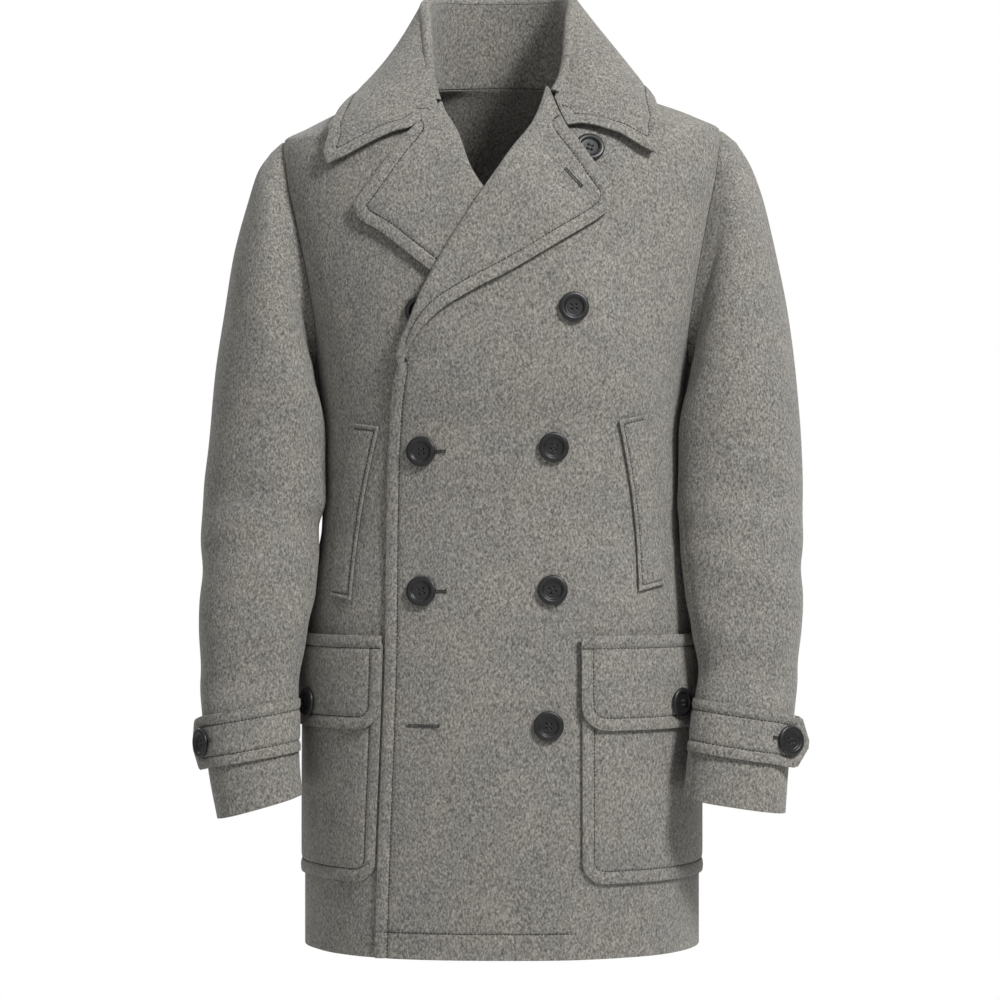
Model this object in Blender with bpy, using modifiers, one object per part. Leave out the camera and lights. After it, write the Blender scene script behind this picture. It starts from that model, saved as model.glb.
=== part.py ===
"""A double-breasted car coat of thick grey wool, hollow and standing as it is worn.

Metres, +Z up. The front faces -Y and +X is the wearer's left. Z = 0 is the level of the
neckline at the shoulder seams, on the middle plane of the coat.
"""

import math

import bpy
import numpy as np

# ---------------------------------------------------------------- driving sizes
CLOTH = 0.0026            # one thickness of wool
SEAM = 0.0003             # clearance between two pieces that are sewn together
LAY = 0.0008              # clearance under a piece that lies on a panel
LEAD = 0.0016             # straight stretch of a fold before it bends over
BODY_POWER = 2.4          # squareness of the body's rings
NECK_RISE = 0.15          # how much the neckline climbs for each metre towards the back
SHOULDER_TILT = 0.0055    # the left shoulder is held higher than the middle, the right lower

HEM_Z = -0.815
UNDERARM_Z = -0.265
SHOULDER_Z = -0.044
BREAK_Z = -0.265          # where the lapels start to turn back
NECK_Z = 0.0

# Body rings. z, half width, depth in front, depth behind.
BODY_RINGS = np.array([
    (-0.900, 0.1890, 0.140, 0.130),
    (-0.815, 0.1885, 0.140, 0.130),
    (-0.700, 0.1885, 0.141, 0.133),
    (-0.580, 0.1880, 0.139, 0.132),
    (-0.500, 0.1860, 0.134, 0.123),
    (-0.460, 0.1810, 0.131, 0.115),
    (-0.420, 0.1730, 0.129, 0.109),
    (-0.340, 0.1715, 0.130, 0.110),
    (-0.265, 0.1780, 0.132, 0.119),
    (-0.200, 0.1910, 0.129, 0.128),
    (-0.130, 0.2065, 0.118, 0.128),
    (-0.085, 0.2130, 0.106, 0.119),
    (-0.062, 0.2130, 0.097, 0.110),
    (-0.044, 0.2085, 0.0885, 0.1010),
    (-0.033, 0.1880, 0.0820, 0.0945),
    (-0.021, 0.1620, 0.0745, 0.0870),
    (-0.008, 0.1260, 0.0660, 0.0790),
    (0.000, 0.0800, 0.060, 0.074),
    (0.020, 0.0600, 0.050, 0.066),
])

# The edge of the left front, which laps over, then the line its lapel rolls on. z, x.
LEFT_EDGE = np.array([
    (-0.815, -0.1153),
    (-0.694, -0.1117),
    (-0.546, -0.1070),
    (-0.385, -0.1050),
    (-0.324, -0.1025),
    (-0.287, -0.0975),
    (-0.265, -0.0925),
    (-0.236, -0.0808),
    (-0.208, -0.0698),
    (-0.185, -0.0585),
    (-0.148, -0.0368),
    (-0.115, -0.0148),
    (-0.084, 0.0078),
    (-0.045, 0.0326),
    (0.000, 0.0465),
])

# The same on the right front, which lies beneath. Its lower part is hidden. z, x.
RIGHT_EDGE = np.array([
    (-0.815, 0.0860),
    (-0.546, 0.0796),
    (-0.324, 0.0751),
    (-0.268, 0.0656),
    (-0.236, 0.0534),
    (-0.208, 0.0424),
    (-0.185, 0.0311),
    (-0.148, 0.0090),
    (-0.115, -0.0148),
    (-0.090, -0.0314),
    (-0.048, -0.0470),
    (-0.027, -0.0570),
    (0.000, -0.0645),
])

# Outer edge of each lapel, for a height on its roll line. roll z, edge x, edge z.
LAPEL_LEFT_EDGE = np.array([
    (-0.2650, -0.0902, -0.2725),
    (-0.2456, -0.0790, -0.2475),
    (-0.2230, -0.0560, -0.2215),
    (-0.1950, -0.0250, -0.2010),
    (-0.1635, 0.0060, -0.1855),
    (-0.1320, 0.0360, -0.1680),
    (-0.1040, 0.0640, -0.1505),
    (-0.0620, 0.0900, -0.1325),
    (-0.0300, 0.0990, -0.1235),
    (-0.0073, 0.1020, -0.1090),
])
LAPEL_RIGHT_EDGE = np.array([
    (-0.2650, 0.0600, -0.2690),
    (-0.2456, 0.0480, -0.2510),
    (-0.2230, 0.0250, -0.2370),
    (-0.1950, 0.0000, -0.2220),
    (-0.1635, -0.0280, -0.2075),
    (-0.1320, -0.0560, -0.1895),
    (-0.1040, -0.0800, -0.1710),
    (-0.0620, -0.1120, -0.1450),
    (-0.0400, -0.1300, -0.1325),
    (-0.0220, -0.1355, -0.1190),
])
LAPEL_NOTCH = {"left": (0.0592, -0.0487), "right": (-0.0852, -0.0502)}
LAPEL_LIFT = {"left": 0.0064, "right": 0.0030}      # how far a lapel's top stands proud
LAPEL_RISE = {"left": 0.38, "right": 0.70}          # share of its length where that begins
LAPEL_LAYER = CLOTH + 3.2 * LAY                     # the right lapel, under the left front

# Collar, round the neck from the wearer's right front to the left front. The roll is its
# top fold. turn of the neckline (degrees), roll x, y, z, then the outer edge: turn, z, out,
# and how far the cloth swells between the two.
COLLAR_STATIONS = np.array([
    (-50, -0.0600, -0.0645, -0.0175, -45.0, -0.0785, 0.0085, 0.003),
    (-54, -0.0665, -0.0535, 0.0060, -46.5, -0.0660, 0.0085, 0.002),
    (-61, -0.0700, -0.0380, 0.0360, -46.5, -0.0440, 0.0085, 0.000),
    (-74, -0.0722, -0.0190, 0.0650, -62.0, -0.0230, 0.0080, -0.004),
    (-92, -0.0735, 0.0010, 0.0850, -92.0, -0.0110, 0.0060, -0.004),
    (-120, -0.0610, 0.0370, 0.0940, -122.0, -0.0160, 0.0080, -0.001),
    (-150, -0.0330, 0.0570, 0.0960, -152.0, -0.0245, 0.0090, 0.004),
    (-180, 0.0000, 0.0630, 0.0970, -180.0, -0.0290, 0.0090, 0.006),
    (-210, 0.0330, 0.0570, 0.0965, -208.0, -0.0240, 0.0090, 0.005),
    (-240, 0.0600, 0.0370, 0.0950, -238.0, -0.0150, 0.0090, 0.003),
    (-268, 0.0675, 0.0010, 0.0890, -268.0, -0.0085, 0.0060, 0.003),
    (-288, 0.0648, -0.0210, 0.0680, -302.0, -0.0215, 0.0090, 0.002),
    (-305, 0.0620, -0.0390, 0.0380, -317.5, -0.0420, 0.0085, 0.003),
    (-317, 0.0565, -0.0510, 0.0090, -319.0, -0.0550, 0.0085, 0.004),
    (-327, 0.0480, -0.0645, -0.0090, -321.5, -0.0700, 0.0085, 0.004),
])
# The collar's front ends, from the roll by the notch to the point. x, z.
COLLAR_END_RIGHT = np.array([
    (-0.0600, -0.0200),
    (-0.0850, -0.0465),
    (-0.0990, -0.0505),
    (-0.1200, -0.0615),
    (-0.1418, -0.0722),
    (-0.1590, -0.0785),
])
COLLAR_END_LEFT = np.array([
    (0.0490, -0.0100),
    (0.0605, -0.0435),
    (0.0730, -0.0412),
    (0.0880, -0.0445),
    (0.1090, -0.0535),
    (0.1290, -0.0685),
    (0.1392, -0.0740),
])
COLLAR_ROLL_RADIUS = 0.0042
COLLAR_END_LIFT = (0.0045, 0.0085)   # how far the ends stand off the body, roll and point
FALL_COLUMNS = 27
STAND_INSET = 2               # columns of the fall that the stand stops short of each end

BACK_FOLD_DEPTH = 0.0045      # soft upright folds in the skirt of the back
BACK_FOLDS = 5                # of them in a whole turn
BACK_FOLD_Z = (-0.50, -0.72)  # where they start and where they are full

ARMHOLE_FRONT = math.radians(22)
ARMHOLE_BACK = math.radians(21)
ARMHOLE_STEPS = 10

# Sleeve rings from the armhole to the cuff. outer x, z, inner x, z, middle y, half depth.
SLEEVE_LEFT = np.array([
    (0.2245, -0.0505, 0.1780, -0.271, 0.002, 0.066),
    (0.2370, -0.0715, 0.1700, -0.283, -0.002, 0.072),
    (0.2484, -0.1020, 0.1630, -0.297, -0.006, 0.077),
    (0.2615, -0.1580, 0.1570, -0.315, -0.011, 0.079),
    (0.2728, -0.2180, 0.1530, -0.337, -0.017, 0.077),
    (0.2800, -0.278, 0.1530, -0.365, -0.022, 0.074),
    (0.2843, -0.340, 0.1530, -0.395, -0.029, 0.070),
    (0.2855, -0.385, 0.1580, -0.420, -0.036, 0.066),
    (0.2850, -0.430, 0.1600, -0.448, -0.046, 0.062),
    (0.2842, -0.472, 0.1650, -0.477, -0.055, 0.059),
    (0.2811, -0.520, 0.1700, -0.512, -0.063, 0.055),
    (0.2778, -0.559, 0.1785, -0.548, -0.068, 0.052),
    (0.2728, -0.592, 0.1750, -0.578, -0.080, 0.050),
    (0.2660, -0.645, 0.1685, -0.630, -0.092, 0.048),
    (0.2630, -0.683, 0.1640, -0.668, -0.096, 0.047),
])
SLEEVE_RIGHT = np.array([
    (0.2215, -0.0605, 0.1770, -0.271, 0.002, 0.066),
    (0.2330, -0.0780, 0.1705, -0.283, -0.002, 0.072),
    (0.2435, -0.1110, 0.1630, -0.297, -0.006, 0.077),
    (0.2560, -0.1600, 0.1570, -0.315, -0.011, 0.079),
    (0.2645, -0.215, 0.1530, -0.337, -0.016, 0.077),
    (0.2732, -0.275, 0.1530, -0.365, -0.020, 0.074),
    (0.2785, -0.340, 0.1540, -0.395, -0.027, 0.070),
    (0.2835, -0.385, 0.1670, -0.420, -0.032, 0.066),
    (0.2857, -0.430, 0.1650, -0.448, -0.040, 0.062),
    (0.2856, -0.475, 0.1680, -0.477, -0.047, 0.059),
    (0.2858, -0.520, 0.1740, -0.512, -0.053, 0.055),
    (0.2848, -0.564, 0.1820, -0.550, -0.055, 0.052),
    (0.2812, -0.596, 0.1860, -0.580, -0.064, 0.050),
    (0.2740, -0.649, 0.1860, -0.630, -0.074, 0.048),
    (0.2658, -0.690, 0.1830, -0.667, -0.078, 0.047),
])
SLEEVE_POWER_TOP = 2.1
SLEEVE_POWER_CUFF = 2.5
SLEEVE_CLEARANCE = 0.0023     # between a sleeve and the body beside it
FLAP_CLEARANCE = 0.0095       # the same beside the pocket flaps
BUTTON_CLEARANCE = 0.0140     # and lower down, beside their buttons
PUSH_POWER = 30               # how sharply a sleeve gives way to the body
TOP_SLEEVE_STEPS = (-6, 8)    # a sleeve's ring has 20 steps, and step 0 is its outermost line
SLEEVE_GAP = 0.05             # steps from a sleeve's seam to its cloth
SLEEVE_EDGE = 0.11            # steps from the seam to the row beside it
CREASES = np.array([          # elbow creases. ring, step, depth, spread in rings, spread in steps
    (6.5, 5.6, 0.0032, 0.7, 2.4),
    (7.6, 4.2, 0.0048, 0.6, 2.6),
    (8.8, 4.6, 0.0045, 0.6, 2.6),
    (9.9, 5.4, 0.0030, 0.6, 2.4),
])

# Welts on the slanted pockets, as corners on the front. x, z from the inner top corner,
# round by the outer side.
WELT_RIGHT = ((-0.1124, -0.3254), (-0.1350, -0.3224), (-0.1587, -0.4836), (-0.1387, -0.4870))
WELT_LEFT = ((0.1051, -0.3199), (0.1276, -0.3141), (0.1485, -0.4725), (0.1237, -0.4785))
WELT_THICKNESS = 0.0020
WELT_BOW = 0.004

# Patch pockets. Their inner side is a distance from the middle, the outer side is an angle
# round the body.
POCKET_TOP_Z = -0.526
POCKET_BOTTOM_Z = -0.746
POCKET_INNER_X = 0.0722
POCKET_EDGE_GAP = 0.0024      # from the left front's edge to the right pocket
POCKET_OUTER_TURN = math.radians(108)
POCKET_CORNER = 0.020
FLAP_TOP_Z = -0.519
FLAP_BOTTOM_Z = -0.6055
FLAP_MARGIN = 0.0012          # how far the flap reaches past the pocket at each side
FLAP_CORNER = 0.022
PATCH_LAYERS = LAY + CLOTH    # a pocket's outer side, off the panel it lies on
FLAP_LAYERS = 2.6 * LAY + 2 * CLOTH
CORNER_TURN = 6.25            # radians of turn that a patch narrows by for each metre

# Cuff straps, round the front of the cuff from the inner seam to a pointed tab: the step of
# the sleeve's ring it starts at, the step it leaves at, the tab's heading and its length.
STRAP_LEFT = (8.6, 3.2, math.radians(31), 0.038)
STRAP_RIGHT = (8.6, 2.0, math.radians(59), 0.032)
STRAP_RING = 13.45            # the sleeve's ring under the strap's middle line
STRAP_HALF_WIDTH = 0.0245
STRAP_THICKNESS = 0.0024
STRAP_POINT = 0.012

# Buttons. Their places are x, z on the front.
BUTTON_RADIUS = 0.0140
BUTTON_HEIGHT = 0.0044
BUTTON_STEPS = 16
# Profile of a button, as shares of its radius and height: the rim stands over a dish.
BUTTON_PROFILE = (
    (0.00, 0.62), (0.55, 0.60), (0.68, 0.80), (0.80, 1.00), (0.93, 0.92),
    (1.00, 0.60), (0.97, 0.22), (0.86, 0.00), (0.00, 0.00),
)
LEFT_FRONT_BUTTONS = (
    ("button_left_1", 0.0641, -0.2170),
    ("button_left_2", 0.0467, -0.3451),
    ("button_left_3", 0.0457, -0.4767),
    ("button_left_4", 0.0420, -0.6006),
    ("button_right_2", -0.0732, -0.3488),
    ("button_right_3", -0.0731, -0.4777),
)
HIDDEN_BUTTON = ("button_right_1", -0.0752, -0.2200)
BUTTON_SWELL = 0.0024         # the left front swells over that button
BUTTON_SWELL_REACH = 0.034
COLLAR_BUTTON = ("button_collar", 0.0812, -0.0665)
FLAP_BUTTONS = {"left": ("button_flap_left", 0.1600, -0.582), "right": ("button_flap_right", -0.1745, -0.583)}

UP = np.array([0.0, 0.0, 1.0])

WOOL = (0.225, 0.222, 0.214, 1.0)
HORN = (0.020, 0.020, 0.022, 1.0)


# ---------------------------------------------------------------- curves and surfaces
def through(xs, ys, at):
    """Values at `at` of a smooth curve through the points, which never swings past them."""
    xs, ys, at = np.asarray(xs, float), np.asarray(ys, float), np.asarray(at, float)
    step = np.diff(xs)
    slope = np.diff(ys) / step
    tangent = np.zeros_like(ys)
    same = slope[:-1] * slope[1:] > 0
    left, right = 2 * step[1:] + step[:-1], step[1:] + 2 * step[:-1]
    below = np.where(same, slope[:-1], 1.0)
    above = np.where(same, slope[1:], 1.0)
    tangent[1:-1] = np.where(same, (left + right) / (left / below + right / above), 0.0)
    tangent[0], tangent[-1] = slope[0], slope[-1]
    at = np.clip(at, xs[0], xs[-1])
    k = np.clip(np.searchsorted(xs, at, side="right") - 1, 0, len(step) - 1)
    t = (at - xs[k]) / step[k]
    ends = (1 + 2 * t) * (1 - t) ** 2 * ys[k] + t * t * (3 - 2 * t) * ys[k + 1]
    bends = t * (1 - t) ** 2 * tangent[k] - t * t * (1 - t) * tangent[k + 1]
    return ends + bends * step[k]


def spline(rows, at):
    """Points at `at` (0 to 1) of a smooth curve through the rows, evenly numbered."""
    rows = np.asarray(rows, float)
    place = np.clip(np.asarray(at, float), 0, 1) * (len(rows) - 1)
    k = np.minimum(place.astype(int), len(rows) - 2)
    t = (place - k)[..., None]
    before, after = np.maximum(k - 1, 0), np.minimum(k + 2, len(rows) - 1)
    p0, p1, p2, p3 = rows[before], rows[k], rows[k + 1], rows[after]
    return 0.5 * (2 * p1 + (p2 - p0) * t + (2 * p0 - 5 * p1 + 4 * p2 - p3) * t ** 2
                  + (3 * p1 - p0 - 3 * p2 + p3) * t ** 3)


def fade(start, end, at):
    """0 before `start`, 1 past `end`, and a smooth rise between."""
    t = np.clip((np.asarray(at, float) - start) / (end - start), 0, 1)
    return t * t * (3 - 2 * t)


def blunt(value, power):
    """A sine or cosine bent so that the round it draws is squarer for a higher power."""
    return np.sign(value) * np.abs(value) ** (2 / power)


def body_ring(z):
    return [through(BODY_RINGS[:, 0], BODY_RINGS[:, column], z) for column in (1, 2, 3)]


def body_skin(turn, z):
    """The body's own surface at an angle from the front, positive to the wearer's left."""
    width, front, back = body_ring(z)
    ahead = blunt(np.cos(turn), BODY_POWER)
    x = width * blunt(np.sin(turn), BODY_POWER)
    y = -np.where(ahead > 0, front, back) * ahead
    tilt = SHOULDER_TILT * np.sign(x) * fade(0.10, 0.20, np.abs(x)) * fade(-0.22, -0.06, z)
    return np.stack([x, y, z + tilt + NECK_RISE * y * fade(-0.07, 0.0, z)], axis=-1)


def body(turn, z, out=0.0):
    """The point that stands `out` off the body's surface."""
    turn, z, out = np.broadcast_arrays(np.asarray(turn, float), np.asarray(z, float), out)
    small = 2e-4
    round_it = body_skin(turn + small, z) - body_skin(turn - small, z)
    up = body_skin(turn, z + small) - body_skin(turn, z - small)
    normal = np.cross(round_it, up)
    normal /= np.linalg.norm(normal, axis=-1, keepdims=True)
    return body_skin(turn, z) + normal * out[..., None]


def turn_at(x, z):
    """The angle at which the front of the body has this x."""
    share = np.clip(np.abs(x) / body_ring(z)[0], 0, 1)
    return np.sign(x) * np.arcsin(share ** (BODY_POWER / 2))


def x_at(turn, z):
    return body_ring(z)[0] * blunt(np.sin(turn), BODY_POWER)


def on_front(x, z, out):
    return body(turn_at(x, z), z, out)


def left_edge(z):
    return through(LEFT_EDGE[:, 0], LEFT_EDGE[:, 1], z)


def right_edge(z):
    return through(RIGHT_EDGE[:, 0], RIGHT_EDGE[:, 1], z)


def left_front_out(x, z):
    """How far the left front stands off the body: it lies on the right front and its lapel."""
    x, z = np.asarray(x, float), np.asarray(z, float)
    beyond = 1 - fade(0.034, 0.094, x - right_edge(z))
    lapel = fade(BREAK_Z - 0.064, BREAK_Z - 0.018, z) * (1 - fade(-0.095, -0.045, z))
    layers = (CLOTH + LAY) * (1 - fade(-0.075, -0.020, z)) + LAPEL_LAYER * lapel
    _, button_x, button_z = HIDDEN_BUTTON
    near = ((x - button_x) ** 2 + (z - button_z) ** 2) / BUTTON_SWELL_REACH ** 2
    return layers * beyond + BUTTON_SWELL * np.exp(-near ** 2)


def right_front_out(x, z):
    return 0.0 * np.asarray(x, float)


# ---------------------------------------------------------------- objects
def new_material(name, colour, roughness):
    material = bpy.data.materials.new(name)
    material.use_nodes = True
    shader = material.node_tree.nodes["Principled BSDF"]
    shader.inputs["Base Color"].default_value = colour
    shader.inputs["Roughness"].default_value = roughness
    shader.inputs["Metallic"].default_value = 0.0
    material.diffuse_color = colour
    return material


def sheet_object(name, grid):
    """An open surface through a grid of points, rows by columns."""
    rows, columns = grid.shape[:2]
    number = np.arange(rows * columns).reshape(rows, columns)
    quads = np.stack([number[:-1, :-1], number[:-1, 1:], number[1:, 1:], number[1:, :-1]], axis=-1)
    mesh = bpy.data.meshes.new(name)
    mesh.from_pydata(grid.reshape(-1, 3).tolist(), [], quads.reshape(-1, 4).tolist())
    mesh.shade_smooth()
    mesh.materials.append(new_material(name, WOOL, 0.9))
    obj = bpy.data.objects.new(name, mesh)
    PARTS.objects.link(obj)
    return obj


def cloth_wall(name, grid, thickness=CLOTH, side=-1.0):
    """A wall of cloth. `side` -1 grows it inward from the surface, 0 both ways alike."""
    obj = sheet_object(name, grid)
    solidify = obj.modifiers.new("Wall", "SOLIDIFY")
    solidify.thickness = thickness
    solidify.offset = side
    solidify.use_rim = True
    return obj


def shares(count, edge=0.0):
    """Even shares from 0 to 1, with one more close to each end to keep a cut edge square."""
    inner = np.linspace(0, 1, count + 1)
    if not edge:
        return inner
    return np.concatenate([[0, edge], inner[1:-1], [1 - edge, 1]])


# ---------------------------------------------------------------- body panels
def armhole(step, side):
    """Angle and height of the armhole at a step of the sleeve's ring, 0 at the shoulder."""
    around = np.asarray(step, float) * math.pi / ARMHOLE_STEPS
    z = (SHOULDER_Z + UNDERARM_Z) / 2 + (SHOULDER_Z - UNDERARM_Z) / 2 * np.cos(around)
    reach = np.where(np.sin(around) > 0, -ARMHOLE_FRONT, ARMHOLE_BACK)
    return side * (math.pi / 2 + reach * np.abs(np.sin(around)) ** 0.75), z


def panel_heights():
    below = np.append(np.linspace(HEM_Z, UNDERARM_Z - 0.068, 10), UNDERARM_Z - np.array([0.042, 0.020]))
    beside = armhole(np.arange(ARMHOLE_STEPS, -1, -1), 1)[1]
    above = np.linspace(SHOULDER_Z, NECK_Z, 7)[1:]
    return np.concatenate([below, beside, above])


def side_turn(z, back):
    """Angle of a panel's outer side: the side seam, the armhole, then the shoulder seam."""
    middle, half = (SHOULDER_Z + UNDERARM_Z) / 2, (SHOULDER_Z - UNDERARM_Z) / 2
    around = np.arccos(np.clip((z - middle) / half, -1, 1))
    reach = ARMHOLE_BACK if back else -ARMHOLE_FRONT
    return math.pi / 2 + reach * np.sin(around) ** 0.75


def part_seams(grid, column, direction):
    """Moves one column of a panel half a seam's clearance along Y."""
    grid[:, column, 1] += direction * SEAM * 0.75
    return grid


def front_panel(name, side, edge, out):
    """A front, from its own edge and roll line round to the side seam."""
    z = panel_heights()[:, None]
    start = turn_at(edge(z), z)
    end = side * side_turn(z, False)
    turn = start + (end - start) * shares(12, 0.012)[None, :]
    z = z + 0 * turn
    grid = body(turn, z, out(x_at(turn, z), z))
    grid = part_seams(grid, -1, -1)
    return cloth_wall(name, grid if side > 0 else grid[:, ::-1])


def back_panel():
    z = panel_heights()[:, None]
    start = side_turn(z, True)
    turn = start + (2 * math.pi - 2 * start) * shares(16, 0.008)[None, :]
    z = z + 0 * turn
    folds = BACK_FOLD_DEPTH * np.cos(BACK_FOLDS * turn) * fade(*BACK_FOLD_Z, z) * np.sin(turn / 2) ** 4
    grid = body(turn, z, folds)
    grid = part_seams(part_seams(grid, 0, 1), -1, 1)
    return cloth_wall("back", grid)


# ---------------------------------------------------------------- lapels
def lapel(side, edge, outline, front_out):
    """A turned-back lapel. Each row starts on the front's roll line, bends over in a half
    round and lies on the front. The rows near the top lean towards the notch."""
    heights = panel_heights()
    top = outline[-1, 0]
    heights = heights[(heights > BREAK_Z - 0.001) & (heights < top + 0.001)]
    up = (heights - heights[0]) / (heights[-1] - heights[0])
    flat = shares(6)
    notch = LAPEL_NOTCH[side]
    roll_x, roll_z = edge(heights), heights
    edge_x = through(outline[:, 0], outline[:, 1], heights)
    edge_z = through(outline[:, 0], outline[:, 2], heights)
    bent = np.array([0.0, 0.26, 1.0])
    top_x = np.interp(flat, bent, (roll_x[-1], notch[0], edge_x[-1]))
    top_z = np.interp(flat, bent, (roll_z[-1], notch[1], edge_z[-1]))
    rows = []
    for row, share in enumerate(up):
        x = roll_x[row] + (edge_x[row] - roll_x[row]) * flat
        z = roll_z[row] + (edge_z[row] - roll_z[row]) * flat
        lean = share ** 4
        x = x + lean * (top_x - roll_x[-1] - (edge_x[-1] - roll_x[-1]) * flat)
        z = z + lean * (top_z - roll_z[-1] - (edge_z[-1] - roll_z[-1]) * flat)
        proud = LAPEL_LIFT[side] * fade(LAPEL_RISE[side], 1.0, share)
        lift = 2.0 * LAY + proud * (1 - 0.7 * fade(0.55, 1.0, flat))
        radius = (CLOTH + lift[0]) / 2
        away = np.array([roll_x[row] - edge_x[row], roll_z[row] - edge_z[row]])
        away /= np.linalg.norm(away)
        base = front_out(x, z)
        lying = on_front(x, z, base + lift + CLOTH / 2)
        bend = np.radians((-90, -90, -45, 0, 45))
        lead = np.array([2 * SEAM, 2 * SEAM + LEAD, LEAD, LEAD, LEAD / 2])
        ahead = lead + radius * np.cos(bend)
        bend_x = roll_x[row] + away[0] * ahead
        bend_z = roll_z[row] + away[1] * ahead
        bend_out = base[0] + lift[0] / 2 + radius * np.sin(bend)
        rows.append(np.concatenate([on_front(bend_x, bend_z, bend_out), lying]))
    grid = np.array(rows)
    return cloth_wall(f"lapel_{side}", grid[:, ::-1] if side == "left" else grid, side=0.0)


# ---------------------------------------------------------------- collar
def collar_end(points, share):
    """A front end of the collar at shares of its length, lifted off the body."""
    length = np.concatenate([[0], np.cumsum(np.linalg.norm(np.diff(points, axis=0), axis=1))])
    at = share * length[-1]
    near, far = COLLAR_END_LIFT
    out = near + (far - near) * share
    return on_front(np.interp(at, length, points[:, 0]), np.interp(at, length, points[:, 1]), out)


def unit(vectors):
    return vectors / np.linalg.norm(vectors, axis=-1, keepdims=True)


def across(vectors, *others):
    """The vectors without their share along each of the unit vectors in `others`."""
    for other in others:
        vectors = vectors - other * (vectors * other).sum(axis=-1, keepdims=True)
    return unit(vectors)


def collar_frame(along):
    """Neckline, roll's centre, outer edge, and the roll's own sideways and upward ways."""
    station = spline(COLLAR_STATIONS, along)
    neck = body(np.radians(station[:, 0]), NECK_Z, -CLOTH / 2)
    roll = station[:, 1:4]
    edge = body(np.radians(station[:, 4]), station[:, 5], station[:, 6])
    run = unit(spline(COLLAR_STATIONS, along + 0.01)[:, 1:4] - spline(COLLAR_STATIONS, along - 0.01)[:, 1:4])
    rise = across(UP + 0 * run, run)
    heading = across(edge - roll, run, rise)
    return neck, roll - rise * COLLAR_ROLL_RADIUS, edge, heading, rise


def collar_stand():
    """The stand rises from the neckline to just inside the roll."""
    neck, centre, _, heading, rise = collar_frame(np.linspace(0, 1, FALL_COLUMNS)[STAND_INSET:-STAND_INSET])
    top = centre - heading * COLLAR_ROLL_RADIUS - rise * LEAD
    neck = neck + UP * CLOTH * 0.6
    grid = np.array([neck + (top - neck) * share for share in shares(3)])
    return cloth_wall("collar_stand", grid, side=0.0)


def collar_fall():
    """The fall starts on the stand, bends over the roll and lies outside it."""
    along = np.linspace(0, 1, FALL_COLUMNS)
    _, centre, edge, heading, rise = collar_frame(along)
    bow = spline(COLLAR_STATIONS, along)[:, 7:]
    radius = COLLAR_ROLL_RADIUS
    rows = [centre - heading * radius - rise * (LEAD - 2 * SEAM)]
    for bend in np.radians((180, 135, 90, 45)):
        rows.append(centre + heading * radius * math.cos(bend) + rise * radius * math.sin(bend))
    start = centre + heading * radius
    ends = ((COLLAR_END_RIGHT, 0, 1 - along), (COLLAR_END_LEFT, -1, along))
    for share in shares(7):
        swell = (heading * 0.6 + UP * 0.8) * math.sin(math.pi * share) * bow
        row = start + (edge - start) * share + swell
        target = [collar_end(points, np.array(share)) - row[index] for points, index, _ in ends]
        for change, (_, _, nearness) in zip(target, ends):
            row = row + change * fade(0.80, 1.0, nearness)[:, None]
        rows.append(row)
    return cloth_wall("collar_fall", np.array(rows), side=0.0)


# ---------------------------------------------------------------- sleeves
def sleeve_ring_points(side, table, ring, step):
    """A sleeve's surface at ring (0 at the armhole) and step (20 to a turn)."""
    ring, step = np.broadcast_arrays(np.asarray(ring, float), np.asarray(step, float))
    around = step * math.pi / ARMHOLE_STEPS
    last = len(table)
    rows = np.arange(1, last + 1)
    row = np.clip(ring, 1, last)
    outer_x, outer_z, inner_x, inner_z, middle_y, depth = (
        through(rows, table[:, column], row) for column in range(6))
    power = SLEEVE_POWER_TOP + (SLEEVE_POWER_CUFF - SLEEVE_POWER_TOP) * fade(6, last, ring)
    across, ahead = blunt(np.cos(around), power), blunt(np.sin(around), power)
    x = (outer_x + inner_x) / 2 + (outer_x - inner_x) / 2 * across
    z = (outer_z + inner_z) / 2 + (outer_z - inner_z) / 2 * across
    y = middle_y - depth * ahead
    for crease_ring, crease_step, deep, tall, wide in CREASES:
        turned = (step - crease_step + 10) % 20 - 10
        hollow = deep * np.exp(-((ring - crease_ring + 0.18 * turned) / tall) ** 2 - (turned / wide) ** 2)
        x = x - hollow * np.cos(around)
        y = y + hollow * np.sin(around)
    clear = SLEEVE_CLEARANCE + (FLAP_CLEARANCE - SLEEVE_CLEARANCE) * fade(-0.480, -0.512, z)
    clear = clear + (BUTTON_CLEARANCE - FLAP_CLEARANCE) * fade(-0.530, -0.562, z)
    width, front, back = body_ring(z)
    level = ((np.abs(x) / (width + clear)) ** BODY_POWER
             + (np.abs(y) / (np.where(y < 0, front, back) + clear)) ** BODY_POWER) ** (1 / BODY_POWER)
    soft = (1 + np.maximum(level, 0.5) ** -PUSH_POWER) ** (1 / PUSH_POWER)
    push = 1 + (soft - 1) * fade(-0.235, -0.275, z)
    tube = np.stack([side * x * push, y * push, z], axis=-1)
    turn, height = armhole(step, side)
    hole = body(turn, height, 0.0)
    hole[..., 0] += side * SEAM * 2
    nearer = np.clip(ring, 0, 1)[..., None]
    return hole + (tube - hole) * nearer


def sleeve_surface(side, table, ring, step, out):
    """The point that stands `out` off the sleeve."""
    small = 0.02
    up = (sleeve_ring_points(side, table, ring - small, step)
          - sleeve_ring_points(side, table, ring + small, step))
    round_it = (sleeve_ring_points(side, table, ring, step - small)
                - sleeve_ring_points(side, table, ring, step + small))
    return sleeve_ring_points(side, table, ring, step) + unit(np.cross(round_it, up)) * side * out


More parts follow.
